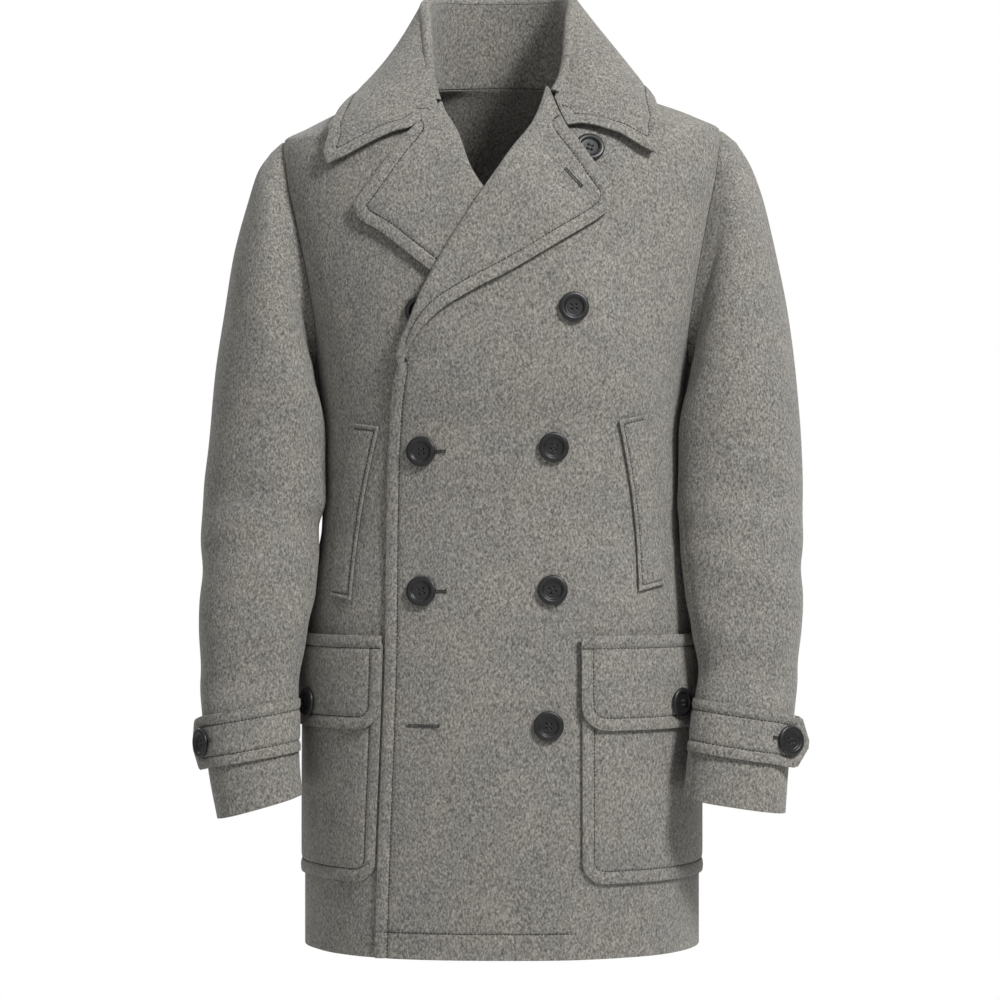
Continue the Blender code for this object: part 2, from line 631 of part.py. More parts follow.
def sleeve(name, side, table):
    """Top sleeve and under sleeve, each a part of the tube's ring."""
    last = len(table)
    rings = np.concatenate([[0, 0.15], np.arange(1, last + 1)])
    first, final = TOP_SLEEVE_STEPS
    for piece, start, end in (("top", first, final), ("under", final, first + 20)):
        steps = np.concatenate([[start + SLEEVE_GAP, start + SLEEVE_EDGE], np.arange(start + 1, end),
                                [end - SLEEVE_EDGE, end - SLEEVE_GAP]])
        ring, step = np.meshgrid(rings, steps, indexing="ij")
        grid = sleeve_ring_points(side, table, ring, step)
        cloth_wall(f"sleeve_{piece}_{name}", grid if side > 0 else grid[:, ::-1])


# ---------------------------------------------------------------- pockets and welts
def welt(name, corners, front_out):
    """A strip on the front between four corners, its long sides bowed a little."""
    (a, b, c, d) = (np.array(corner) for corner in corners)
    down, over = np.meshgrid(shares(8), shares(3), indexing="ij")
    down, over = down[..., None], over[..., None]
    flat = (a * (1 - over) + b * over) * (1 - down) + (d * (1 - over) + c * over) * down
    flat[..., 0] += np.sign(a[0]) * WELT_BOW * np.sin(math.pi * down[..., 0])
    x, z = flat[..., 0], flat[..., 1]
    grid = on_front(x, z, front_out(x, z) + 2 * LAY + WELT_THICKNESS)
    return cloth_wall(name, grid if a[0] < 0 else grid[:, ::-1], WELT_THICKNESS)


def rounded_side(z, bottom, corner):
    """The turn by which a side comes in near a round bottom corner."""
    rise = np.clip((z - bottom) / corner, 0, 1)
    return corner * (1 - np.sqrt(1 - (1 - rise) ** 2)) * CORNER_TURN


def pocket_inner(side, z, margin):
    """Where a pocket's inner side runs: the right one follows the left front's edge."""
    return POCKET_INNER_X - margin + 0 * z if side > 0 else left_edge(z) - POCKET_EDGE_GAP


def pocket_grid(side, top, bottom, margin, outer_turn, corner, out, rows):
    """Rows of a patch on the side of the body, with round bottom corners."""
    z = top + (bottom - top) * rows[:, None]
    inner = np.abs(turn_at(pocket_inner(side, z, margin), z))
    narrow = rounded_side(z, bottom, corner)
    start, end = inner + narrow, outer_turn - narrow
    turn = side * (start + (end - start) * shares(12)[None, :])
    z = z + 0 * turn
    panel = left_front_out if side > 0 else right_front_out
    base = np.where(np.abs(turn) < math.pi / 2, panel(x_at(turn, z), z), 0.0)
    grid = body(turn, z, base + out)
    return grid if side < 0 else grid[:, ::-1]


def pocket_and_flap(name, side):
    rows = np.concatenate([np.linspace(0, 0.88, 6), [0.935, 0.975, 1.0]])
    grid = pocket_grid(side, POCKET_TOP_Z, POCKET_BOTTOM_Z, 0.0, POCKET_OUTER_TURN,
                       POCKET_CORNER, PATCH_LAYERS, rows)
    cloth_wall(f"pocket_{name}", grid)
    rows = np.concatenate([[0, 0.04, 0.12], np.linspace(0.3, 0.7, 3), [0.84, 0.94, 1.0]])
    grid = pocket_grid(side, FLAP_TOP_Z, FLAP_BOTTOM_Z, FLAP_MARGIN,
                       POCKET_OUTER_TURN + math.radians(1), FLAP_CORNER, FLAP_LAYERS, rows)
    cloth_wall(f"flap_{name}", grid)


# ---------------------------------------------------------------- cuff straps
def cuff_strap(name, side, table, strap):
    """A strap round the front of the cuff that leaves the sleeve as a pointed tab."""
    start_step, leave_step, heading, tab_length = strap
    steps = np.linspace(start_step, leave_step, 9)
    lift = LAY + STRAP_THICKNESS
    reach = 0.35
    middle = sleeve_surface(side, table, STRAP_RING, steps, lift)
    down = unit(sleeve_surface(side, table, STRAP_RING + reach, steps, lift)
                - sleeve_surface(side, table, STRAP_RING - reach, steps, lift))
    forward = np.array([side * math.cos(heading), math.sin(heading), 0.0])
    forward -= down[-1] * (forward @ down[-1])
    tab = np.array([0.3, 0.62, 0.74, 1.0]) * tab_length
    narrow = np.array([0.0, 0.02, 0.10, 0.85])
    tail = middle[-1] + forward * tab[:, None]
    line = np.concatenate([middle, tail])
    half = np.concatenate([np.ones(len(middle)), 1 - narrow]) * STRAP_HALF_WIDTH
    across = np.concatenate([down, np.repeat(down[-1:], len(tab), axis=0)])
    shares_down = np.linspace(-1, 1, 5)
    grid = line[:, None, :] + across[:, None, :] * half[:, None, None] * shares_down[None, :, None]
    cloth_wall(f"cuff_strap_{name}", grid if side > 0 else grid[:, ::-1], STRAP_THICKNESS)
    button = middle[-1] + forward * (tab_length - STRAP_POINT - BUTTON_RADIUS * 0.75)
    normal = np.cross(down[-1], forward) * side
    add_button(f"button_cuff_{name}", button + normal * SEAM, normal)


# ---------------------------------------------------------------- buttons
def add_button(name, place, normal):
    """A turned button with a raised rim and a dished middle, its back on `place`."""
    mesh = bpy.data.meshes.new(name)
    points = [(r * BUTTON_RADIUS, 0.0, h * BUTTON_HEIGHT) for r, h in BUTTON_PROFILE]
    mesh.from_pydata(points, [(k, k + 1) for k in range(len(points) - 1)], [])
    mesh.materials.append(new_material(name, HORN, 0.35))
    obj = bpy.data.objects.new(name, mesh)
    PARTS.objects.link(obj)
    screw = obj.modifiers.new("Turn", "SCREW")
    screw.steps = BUTTON_STEPS
    screw.render_steps = BUTTON_STEPS
    screw.use_merge_vertices = True
    screw.merge_threshold = 0.0001
    screw.use_smooth_shade = True
    x, y, z = (float(value) for value in normal)
    yaw = math.atan2(x, -y)
    tilt = math.atan2(math.hypot(x, y), z)
    obj.location = tuple(float(value) for value in place)
    obj.rotation_euler = (tilt, 0.0, yaw)
    return obj


def button_on_front(name, x, z, out):
    place = on_front(np.array(x), np.array(z), np.array(out))
    normal = place - on_front(np.array(x), np.array(z), np.array(out - 0.01))
    add_button(name, place, normal / np.linalg.norm(normal))


def buttons():
    for name, x, z in LEFT_FRONT_BUTTONS:
        button_on_front(name, x, z, float(left_front_out(x, z)) + SEAM * 2)
    button_on_front(*HIDDEN_BUTTON, SEAM * 2)
    button_on_front(*COLLAR_BUTTON, float(left_front_out(*COLLAR_BUTTON[1:])) + SEAM * 2)
    for side in ("left", "right"):
        name, x, z = FLAP_BUTTONS[side]
        panel = left_front_out if side == "left" else right_front_out
        button_on_front(name, x, z, float(panel(x, z)) + FLAP_LAYERS + SEAM * 2)


# ---------------------------------------------------------------- the coat
def clear_scene():
    for obj in list(bpy.data.objects):
        bpy.data.objects.remove(obj, do_unlink=True)


clear_scene()
PARTS = bpy.data.collections.new("wool_car_coat")
bpy.context.scene.collection.children.link(PARTS)

front_panel("front_left", 1, left_edge, left_front_out)
front_panel("front_right", -1, right_edge, right_front_out)
back_panel()
lapel("left", left_edge, LAPEL_LEFT_EDGE, left_front_out)
lapel("right", right_edge, LAPEL_RIGHT_EDGE, right_front_out)
collar_stand()
collar_fall()
sleeve("left", 1, SLEEVE_LEFT)
sleeve("right", -1, SLEEVE_RIGHT)
welt("welt_left", WELT_LEFT, left_front_out)
welt("welt_right", WELT_RIGHT, right_front_out)
pocket_and_flap("left", 1)
pocket_and_flap("right", -1)
cuff_strap("left", 1, SLEEVE_LEFT, STRAP_LEFT)
cuff_strap("right", -1, SLEEVE_RIGHT, STRAP_RIGHT)
buttons()
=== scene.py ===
"""Dresses the wool car coat: finer cloth with its folds and sewing, buttons, finishes, light and camera."""
import math

import bpy
import numpy as np
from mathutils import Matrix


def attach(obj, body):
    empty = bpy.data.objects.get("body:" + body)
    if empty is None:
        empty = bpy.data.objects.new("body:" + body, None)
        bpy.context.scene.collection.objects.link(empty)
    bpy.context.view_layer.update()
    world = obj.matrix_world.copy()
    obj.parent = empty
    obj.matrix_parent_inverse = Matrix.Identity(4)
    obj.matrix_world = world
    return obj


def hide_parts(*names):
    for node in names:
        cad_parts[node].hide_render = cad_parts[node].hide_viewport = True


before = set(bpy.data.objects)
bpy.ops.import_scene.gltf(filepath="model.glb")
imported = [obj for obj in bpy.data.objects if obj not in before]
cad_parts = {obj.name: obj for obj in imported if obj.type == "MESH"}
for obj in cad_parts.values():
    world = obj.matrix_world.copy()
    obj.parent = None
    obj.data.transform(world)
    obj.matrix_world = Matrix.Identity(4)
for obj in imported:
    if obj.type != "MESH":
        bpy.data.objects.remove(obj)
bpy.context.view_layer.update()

# ---------------------------------------------------------------- the coat's sizes
CLOTH = 0.0026            # one thickness of wool
SEAM = 0.0003             # clearance between two pieces that are sewn together
LAY = 0.0008              # clearance under a piece that lies on a panel
LEAD = 0.0016             # straight stretch of a fold before it bends over
BODY_POWER = 2.4          # squareness of the body's rings
NECK_RISE = 0.15          # how much the neckline climbs for each metre towards the back
SHOULDER_TILT = 0.0055    # the left shoulder is held higher than the middle, the right lower

HEM_Z = -0.815
UNDERARM_Z = -0.265
SHOULDER_Z = -0.044
BREAK_Z = -0.265          # where the lapels start to turn back
NECK_Z = 0.0
# Body rings. z, half width, depth in front, depth behind.
BODY_RINGS = np.array([
    (-0.900, 0.1890, 0.140, 0.130),
    (-0.815, 0.1885, 0.140, 0.130),
    (-0.700, 0.1885, 0.141, 0.133),
    (-0.580, 0.1880, 0.139, 0.132),
    (-0.500, 0.1860, 0.134, 0.123),
    (-0.460, 0.1810, 0.131, 0.115),
    (-0.420, 0.1730, 0.129, 0.109),
    (-0.340, 0.1715, 0.130, 0.110),
    (-0.265, 0.1780, 0.132, 0.119),
    (-0.200, 0.1910, 0.129, 0.128),
    (-0.130, 0.2065, 0.118, 0.128),
    (-0.085, 0.2130, 0.106, 0.119),
    (-0.062, 0.2130, 0.097, 0.110),
    (-0.044, 0.2085, 0.0885, 0.1010),
    (-0.033, 0.1880, 0.0820, 0.0945),
    (-0.021, 0.1620, 0.0745, 0.0870),
    (-0.008, 0.1260, 0.0660, 0.0790),
    (0.000, 0.0800, 0.060, 0.074),
    (0.020, 0.0600, 0.050, 0.066),
])

# The edge of the left front, which laps over, then the line its lapel rolls on. z, x.
LEFT_EDGE = np.array([
    (-0.815, -0.1153),
    (-0.694, -0.1117),
    (-0.546, -0.1070),
    (-0.385, -0.1050),
    (-0.324, -0.1025),
    (-0.287, -0.0975),
    (-0.265, -0.0925),
    (-0.236, -0.0808),
    (-0.208, -0.0698),
    (-0.185, -0.0585),
    (-0.148, -0.0368),
    (-0.115, -0.0148),
    (-0.084, 0.0078),
    (-0.045, 0.0326),
    (0.000, 0.0465),
])

# The same on the right front, which lies beneath. Its lower part is hidden. z, x.
RIGHT_EDGE = np.array([
    (-0.815, 0.0860),
    (-0.546, 0.0796),
    (-0.324, 0.0751),
    (-0.268, 0.0656),
    (-0.236, 0.0534),
    (-0.208, 0.0424),
    (-0.185, 0.0311),
    (-0.148, 0.0090),
    (-0.115, -0.0148),
    (-0.090, -0.0314),
    (-0.048, -0.0470),
    (-0.027, -0.0570),
    (0.000, -0.0645),
])

# Outer edge of each lapel, for a height on its roll line. roll z, edge x, edge z.
LAPEL_LEFT_EDGE = np.array([
    (-0.2650, -0.0902, -0.2725),
    (-0.2456, -0.0790, -0.2475),
    (-0.2230, -0.0560, -0.2215),
    (-0.1950, -0.0250, -0.2010),
    (-0.1635, 0.0060, -0.1855),
    (-0.1320, 0.0360, -0.1680),
    (-0.1040, 0.0640, -0.1505),
    (-0.0620, 0.0900, -0.1325),
    (-0.0300, 0.0990, -0.1235),
    (-0.0073, 0.1020, -0.1090),
])
LAPEL_RIGHT_EDGE = np.array([
    (-0.2650, 0.0600, -0.2690),
    (-0.2456, 0.0480, -0.2510),
    (-0.2230, 0.0250, -0.2370),
    (-0.1950, 0.0000, -0.2220),
    (-0.1635, -0.0280, -0.2075),
    (-0.1320, -0.0560, -0.1895),
    (-0.1040, -0.0800, -0.1710),
    (-0.0620, -0.1120, -0.1450),
    (-0.0400, -0.1300, -0.1325),
    (-0.0220, -0.1355, -0.1190),
])
LAPEL_NOTCH = {"left": (0.0592, -0.0487), "right": (-0.0852, -0.0502)}
LAPEL_LIFT = {"left": 0.0064, "right": 0.0030}      # how far a lapel's top stands proud
LAPEL_RISE = {"left": 0.38, "right": 0.70}          # share of its length where that begins
LAPEL_LAYER = CLOTH + 3.2 * LAY                     # the right lapel, under the left front

# Collar, round the neck from the wearer's right front to the left front. The roll is its
# top fold. turn of the neckline (degrees), roll x, y, z, then the outer edge: turn, z, out,
# and how far the cloth swells between the two.
COLLAR_STATIONS = np.array([
    (-50, -0.0600, -0.0645, -0.0175, -45.0, -0.0785, 0.0085, 0.003),
    (-54, -0.0665, -0.0535, 0.0060, -46.5, -0.0660, 0.0085, 0.002),
    (-61, -0.0700, -0.0380, 0.0360, -46.5, -0.0440, 0.0085, 0.000),
    (-74, -0.0722, -0.0190, 0.0650, -62.0, -0.0230, 0.0080, -0.004),
    (-92, -0.0735, 0.0010, 0.0850, -92.0, -0.0110, 0.0060, -0.004),
    (-120, -0.0610, 0.0370, 0.0940, -122.0, -0.0160, 0.0080, -0.001),
    (-150, -0.0330, 0.0570, 0.0960, -152.0, -0.0245, 0.0090, 0.004),
    (-180, 0.0000, 0.0630, 0.0970, -180.0, -0.0290, 0.0090, 0.006),
    (-210, 0.0330, 0.0570, 0.0965, -208.0, -0.0240, 0.0090, 0.005),
    (-240, 0.0600, 0.0370, 0.0950, -238.0, -0.0150, 0.0090, 0.003),
    (-268, 0.0675, 0.0010, 0.0890, -268.0, -0.0085, 0.0060, 0.003),
    (-288, 0.0648, -0.0210, 0.0680, -302.0, -0.0215, 0.0090, 0.002),
    (-305, 0.0620, -0.0390, 0.0380, -317.5, -0.0420, 0.0085, 0.003),
    (-317, 0.0565, -0.0510, 0.0090, -319.0, -0.0550, 0.0085, 0.004),
    (-327, 0.0480, -0.0645, -0.0090, -321.5, -0.0700, 0.0085, 0.004),
])
# The collar's front ends, from the roll by the notch to the point. x, z.
COLLAR_END_RIGHT = np.array([
    (-0.0600, -0.0200),
    (-0.0850, -0.0465),
    (-0.0990, -0.0505),
    (-0.1200, -0.0615),
    (-0.1418, -0.0722),
    (-0.1590, -0.0785),
])
COLLAR_END_LEFT = np.array([
    (0.0490, -0.0100),
    (0.0605, -0.0435),
    (0.0730, -0.0412),
    (0.0880, -0.0445),
    (0.1090, -0.0535),
    (0.1290, -0.0685),
    (0.1392, -0.0740),
])
COLLAR_ROLL_RADIUS = 0.0042
COLLAR_END_LIFT = (0.0045, 0.0085)   # how far the ends stand off the body, roll and point
FALL_COLUMNS = 27
STAND_INSET = 2               # columns of the fall that the stand stops short of each end

BACK_FOLD_DEPTH = 0.0045      # soft upright folds in the skirt of the back
BACK_FOLDS = 5                # of them in a whole turn
BACK_FOLD_Z = (-0.50, -0.72)  # where they start and where they are full

ARMHOLE_FRONT = math.radians(22)
ARMHOLE_BACK = math.radians(21)
ARMHOLE_STEPS = 10

# Sleeve rings from the armhole to the cuff. outer x, z, inner x, z, middle y, half depth.
SLEEVE_LEFT = np.array([
    (0.2245, -0.0505, 0.1780, -0.271, 0.002, 0.066),
    (0.2370, -0.0715, 0.1700, -0.283, -0.002, 0.072),
    (0.2484, -0.1020, 0.1630, -0.297, -0.006, 0.077),
    (0.2615, -0.1580, 0.1570, -0.315, -0.011, 0.079),
    (0.2728, -0.2180, 0.1530, -0.337, -0.017, 0.077),
    (0.2800, -0.278, 0.1530, -0.365, -0.022, 0.074),
    (0.2843, -0.340, 0.1530, -0.395, -0.029, 0.070),
    (0.2855, -0.385, 0.1580, -0.420, -0.036, 0.066),
    (0.2850, -0.430, 0.1600, -0.448, -0.046, 0.062),
    (0.2842, -0.472, 0.1650, -0.477, -0.055, 0.059),
    (0.2811, -0.520, 0.1700, -0.512, -0.063, 0.055),
    (0.2778, -0.559, 0.1785, -0.548, -0.068, 0.052),
    (0.2728, -0.592, 0.1750, -0.578, -0.080, 0.050),
    (0.2660, -0.645, 0.1685, -0.630, -0.092, 0.048),
    (0.2630, -0.683, 0.1640, -0.668, -0.096, 0.047),
])
SLEEVE_RIGHT = np.array([
    (0.2215, -0.0605, 0.1770, -0.271, 0.002, 0.066),
    (0.2330, -0.0780, 0.1705, -0.283, -0.002, 0.072),
    (0.2435, -0.1110, 0.1630, -0.297, -0.006, 0.077),
    (0.2560, -0.1600, 0.1570, -0.315, -0.011, 0.079),
    (0.2645, -0.215, 0.1530, -0.337, -0.016, 0.077),
    (0.2732, -0.275, 0.1530, -0.365, -0.020, 0.074),
    (0.2785, -0.340, 0.1540, -0.395, -0.027, 0.070),
    (0.2835, -0.385, 0.1670, -0.420, -0.032, 0.066),
    (0.2857, -0.430, 0.1650, -0.448, -0.040, 0.062),
    (0.2856, -0.475, 0.1680, -0.477, -0.047, 0.059),
    (0.2858, -0.520, 0.1740, -0.512, -0.053, 0.055),
    (0.2848, -0.564, 0.1820, -0.550, -0.055, 0.052),
    (0.2812, -0.596, 0.1860, -0.580, -0.064, 0.050),
    (0.2740, -0.649, 0.1860, -0.630, -0.074, 0.048),
    (0.2658, -0.690, 0.1830, -0.667, -0.078, 0.047),
])
SLEEVE_POWER_TOP = 2.1
SLEEVE_POWER_CUFF = 2.5
SLEEVE_CLEARANCE = 0.0023     # between a sleeve and the body beside it
FLAP_CLEARANCE = 0.0095       # the same beside the pocket flaps
BUTTON_CLEARANCE = 0.0140     # and lower down, beside their buttons
PUSH_POWER = 30               # how sharply a sleeve gives way to the body
TOP_SLEEVE_STEPS = (-6, 8)    # a sleeve's ring has 20 steps, and step 0 is its outermost line
SLEEVE_GAP = 0.05             # steps from a sleeve's seam to its cloth
SLEEVE_EDGE = 0.11            # steps from the seam to the row beside it
CREASES = np.array([          # elbow creases. ring, step, depth, spread in rings, spread in steps
    (6.5, 5.6, 0.0032, 0.7, 2.4),
    (7.6, 4.2, 0.0048, 0.6, 2.6),
    (8.8, 4.6, 0.0045, 0.6, 2.6),
    (9.9, 5.4, 0.0030, 0.6, 2.4),
])

# Welts on the slanted pockets, as corners on the front. x, z from the inner top corner,
# round by the outer side.
WELT_RIGHT = ((-0.1124, -0.3254), (-0.1350, -0.3224), (-0.1587, -0.4836), (-0.1387, -0.4870))
WELT_LEFT = ((0.1051, -0.3199), (0.1276, -0.3141), (0.1485, -0.4725), (0.1237, -0.4785))
WELT_THICKNESS = 0.0020
WELT_BOW = 0.004

# Patch pockets. Their inner side is a distance from the middle, the outer side is an angle
# round the body.
POCKET_TOP_Z = -0.526
POCKET_BOTTOM_Z = -0.746
POCKET_INNER_X = 0.0722
POCKET_EDGE_GAP = 0.0024      # from the left front's edge to the right pocket
POCKET_OUTER_TURN = math.radians(108)
POCKET_CORNER = 0.020
FLAP_TOP_Z = -0.519
FLAP_BOTTOM_Z = -0.6055
FLAP_MARGIN = 0.0012          # how far the flap reaches past the pocket at each side
FLAP_CORNER = 0.022
PATCH_LAYERS = LAY + CLOTH    # a pocket's outer side, off the panel it lies on
FLAP_LAYERS = 2.6 * LAY + 2 * CLOTH
CORNER_TURN = 6.25            # radians of turn that a patch narrows by for each metre

# Cuff straps, round the front of the cuff from the inner seam to a pointed tab: the step of
# the sleeve's ring it starts at, the step it leaves at, the tab's heading and its length.
STRAP_LEFT = (8.6, 3.2, math.radians(31), 0.038)
STRAP_RIGHT = (8.6, 2.0, math.radians(59), 0.032)
STRAP_RING = 13.45            # the sleeve's ring under the strap's middle line
STRAP_HALF_WIDTH = 0.0245
STRAP_THICKNESS = 0.0024
STRAP_POINT = 0.012

# Buttons. Their places are x, z on the front.
BUTTON_RADIUS = 0.0140
BUTTON_HEIGHT = 0.0044
BUTTON_STEPS = 16
# Profile of a button, as shares of its radius and height: the rim stands over a dish.
BUTTON_PROFILE = (
    (0.00, 0.62), (0.55, 0.60), (0.68, 0.80), (0.80, 1.00), (0.93, 0.92),
    (1.00, 0.60), (0.97, 0.22), (0.86, 0.00), (0.00, 0.00),
)
LEFT_FRONT_BUTTONS = (
    ("button_left_1", 0.0641, -0.2170),
    ("button_left_2", 0.0467, -0.3451),
    ("button_left_3", 0.0457, -0.4767),
    ("button_left_4", 0.0420, -0.6006),
    ("button_right_2", -0.0732, -0.3488),
    ("button_right_3", -0.0731, -0.4777),
)
HIDDEN_BUTTON = ("button_right_1", -0.0752, -0.2200)
BUTTON_SWELL = 0.0024         # the left front swells over that button
BUTTON_SWELL_REACH = 0.034
COLLAR_BUTTON = ("button_collar", 0.0812, -0.0665)
FLAP_BUTTONS = {"left": ("button_flap_left", 0.1600, -0.582), "right": ("button_flap_right", -0.1745, -0.583)}

UP = np.array([0.0, 0.0, 1.0])

# Soft folds of the worn cloth. turn and z of the middle, depth (outward is positive), half
# height, half width in degrees, and lean in degrees for each metre up.
FOLDS = np.array([
    (-96.0, -0.400, -0.0028, 0.110, 9.0, 40.0),
    (96.0, -0.410, -0.0026, 0.100, 9.0, -50.0),
    (-60.0, -0.455, -0.0016, 0.060, 7.0, 90.0),
    (62.0, -0.470, -0.0016, 0.070, 7.0, -80.0),
    (-38.0, -0.760, 0.0026, 0.120, 8.0, 0.0),
    (-66.0, -0.780, -0.0020, 0.110, 8.0, 10.0),
    (34.0, -0.790, -0.0018, 0.090, 9.0, 0.0),
    (12.0, -0.800, 0.0014, 0.100, 8.0, 0.0),
    (0.0, -0.400, -0.0012, 0.022, 22.0, 0.0),
    (0.0, -0.540, -0.0012, 0.026, 24.0, 0.0),
    (58.0, -0.215, 0.0022, 0.060, 9.0, 60.0),
    (-58.0, -0.215, 0.0022, 0.060, 9.0, -60.0),
    (128.0, -0.360, -0.0030, 0.090, 8.0, 120.0),
    (-128.0, -0.350, -0.0030, 0.090, 8.0, -120.0),
    (164.0, -0.440, -0.0024, 0.030, 14.0, 60.0),
    (-160.0, -0.470, -0.0022, 0.026, 15.0, -40.0),
    (180.0, -0.200, -0.0024, 0.090, 9.0, 0.0),
    (150.0, -0.150, 0.0022, 0.060, 10.0, 0.0),
    (-150.0, -0.150, 0.0022, 0.060, 10.0, 0.0),
    (140.0, -0.700, 0.0026, 0.130, 8.0, 0.0),
    (-143.0, -0.720, 0.0028, 0.140, 8.0, 0.0),
    (112.0, -0.690, -0.0022, 0.120, 8.0, 10.0),
    (-114.0, -0.700, -0.0022, 0.120, 8.0, -10.0),
])
# Creases of the sleeves beside the table above. ring, step, depth, spread in rings and steps.
SMALL_CREASES = np.array([
    (4.2, -4.5, 0.0035, 0.6, 2.5),
    (5.4, -7.0, 0.0035, 0.7, 2.5),
    (7.6, -7.5, 0.0040, 0.6, 2.5),
    (8.8, -6.0, 0.0040, 0.5, 2.8),
    (2.4, 6.5, 0.0040, 0.6, 1.6),
    (3.5, 7.2, 0.0040, 0.6, 1.6),
    (10.6, 4.5, 0.0022, 0.5, 2.6),
    (11.4, 1.5, 0.0020, 0.5, 3.0),
    (9.9, -1.5, 0.0018, 0.4, 2.6),
    (8.0, 3.4, 0.0045, 0.45, 2.2),
    (9.4, 2.2, 0.0032, 0.45, 2.4),
    (11.9, 4.0, 0.0030, 0.5, 2.2),
])


CREASES = np.concatenate([CREASES, SMALL_CREASES])

STITCH_INSET = 0.0115         # from a sewn edge to its row of stitches
GROOVE_DEPTH = 0.00120        # the cloth sinks along a row of stitches
GROOVE_WIDTH = 0.0013
PUFF = 0.0006                 # and swells between the row and the edge
STITCH_PITCH = 0.0034
STITCH_RADIUS = 0.00048
EDGE_ROUND = 0.0010           # of a free edge
SEAM_ROUND = 0.0004           # of an edge that is sewn to the next piece
ARMHOLE_TUCK = 0.0013         # a sleeve's first ring goes this far under the body's edge
ARMHOLE_SINK = 0.0009
LAPEL_ROLL_RAISE = {"left": 0.0005, "right": 0.0040}   # a lapel's rolled end reaches up to the collar
LAPEL_EDGE_LIFT = 0.0016      # a lapel's free edge stands this much further off the front
HEM_STITCH = 0.024            # from the hem to the row that holds the facing
HEM_STITCH_END_X = 0.068


# ---------------------------------------------------------------- curves and surfaces
def through(xs, ys, at):
    """Values at `at` of a smooth curve through the points, which never swings past them."""
    xs, ys, at = np.asarray(xs, float), np.asarray(ys, float), np.asarray(at, float)
    step = np.diff(xs)
    slope = np.diff(ys) / step
    tangent = np.zeros_like(ys)
    same = slope[:-1] * slope[1:] > 0
    left, right = 2 * step[1:] + step[:-1], step[1:] + 2 * step[:-1]
    below = np.where(same, slope[:-1], 1.0)
    above = np.where(same, slope[1:], 1.0)
    tangent[1:-1] = np.where(same, (left + right) / (left / below + right / above), 0.0)
    tangent[0], tangent[-1] = slope[0], slope[-1]
    at = np.clip(at, xs[0], xs[-1])
    k = np.clip(np.searchsorted(xs, at, side="right") - 1, 0, len(step) - 1)
    t = (at - xs[k]) / step[k]
    ends = (1 + 2 * t) * (1 - t) ** 2 * ys[k] + t * t * (3 - 2 * t) * ys[k + 1]
    bends = t * (1 - t) ** 2 * tangent[k] - t * t * (1 - t) * tangent[k + 1]
    return ends + bends * step[k]


def spline(rows, at):
    """Points at `at` (0 to 1) of a smooth curve through the rows, evenly numbered."""
    rows = np.asarray(rows, float)
    place = np.clip(np.asarray(at, float), 0, 1) * (len(rows) - 1)
    k = np.minimum(place.astype(int), len(rows) - 2)
    t = (place - k)[..., None]
    before, after = np.maximum(k - 1, 0), np.minimum(k + 2, len(rows) - 1)
    p0, p1, p2, p3 = rows[before], rows[k], rows[k + 1], rows[after]
    return 0.5 * (2 * p1 + (p2 - p0) * t + (2 * p0 - 5 * p1 + 4 * p2 - p3) * t ** 2
                  + (3 * p1 - p0 - 3 * p2 + p3) * t ** 3)


def fade(start, end, at):
    """0 before `start`, 1 past `end`, and a smooth rise between."""
    t = np.clip((np.asarray(at, float) - start) / (end - start), 0, 1)
    return t * t * (3 - 2 * t)


def blunt(value, power):
    """A sine or cosine bent so that the round it draws is squarer for a higher power."""
    return np.sign(value) * np.abs(value) ** (2 / power)


def body_ring(z):
    return [through(BODY_RINGS[:, 0], BODY_RINGS[:, column], z) for column in (1, 2, 3)]


def body_skin(turn, z):
    """The body's own surface at an angle from the front, positive to the wearer's left."""
    width, front, back = body_ring(z)
    ahead = blunt(np.cos(turn), BODY_POWER)
    x = width * blunt(np.sin(turn), BODY_POWER)
    y = -np.where(ahead > 0, front, back) * ahead
    tilt = SHOULDER_TILT * np.sign(x) * fade(0.10, 0.20, np.abs(x)) * fade(-0.22, -0.06, z)
    return np.stack([x, y, z + tilt + NECK_RISE * y * fade(-0.07, 0.0, z)], axis=-1)


def drape(turn, z):
    """Sum of the soft folds: each is a bell in height times a bell in turn, leaning with height."""
    total = 0.0 * turn
    for at_turn, at_z, depth, tall, wide, lean in FOLDS:
        rise = z - at_z
        off = np.degrees(turn) - at_turn - lean * rise
        off = (off + 180) % 360 - 180
        total = total + depth * np.exp(-(rise / tall) ** 2 - (off / wide) ** 2)
    return total * fade(0.0, -0.06, z)


def body(turn, z, out=0.0):
    """The point that stands `out` off the body's surface, with the cloth's soft folds added."""
    turn, z, out = np.broadcast_arrays(np.asarray(turn, float), np.asarray(z, float), out)
    small = 2e-4
    round_it = body_skin(turn + small, z) - body_skin(turn - small, z)
    up = body_skin(turn, z + small) - body_skin(turn, z - small)
    normal = np.cross(round_it, up)
    normal /= np.linalg.norm(normal, axis=-1, keepdims=True)
    return body_skin(turn, z) + normal * (out + drape(turn, z))[..., None]


def turn_at(x, z):
    """The angle at which the front of the body has this x."""
    share = np.clip(np.abs(x) / body_ring(z)[0], 0, 1)
    return np.sign(x) * np.arcsin(share ** (BODY_POWER / 2))


def x_at(turn, z):
    return body_ring(z)[0] * blunt(np.sin(turn), BODY_POWER)


def on_front(x, z, out):
    return body(turn_at(x, z), z, out)


def left_edge(z):
    return through(LEFT_EDGE[:, 0], LEFT_EDGE[:, 1], z)


def right_edge(z):
    return through(RIGHT_EDGE[:, 0], RIGHT_EDGE[:, 1], z)


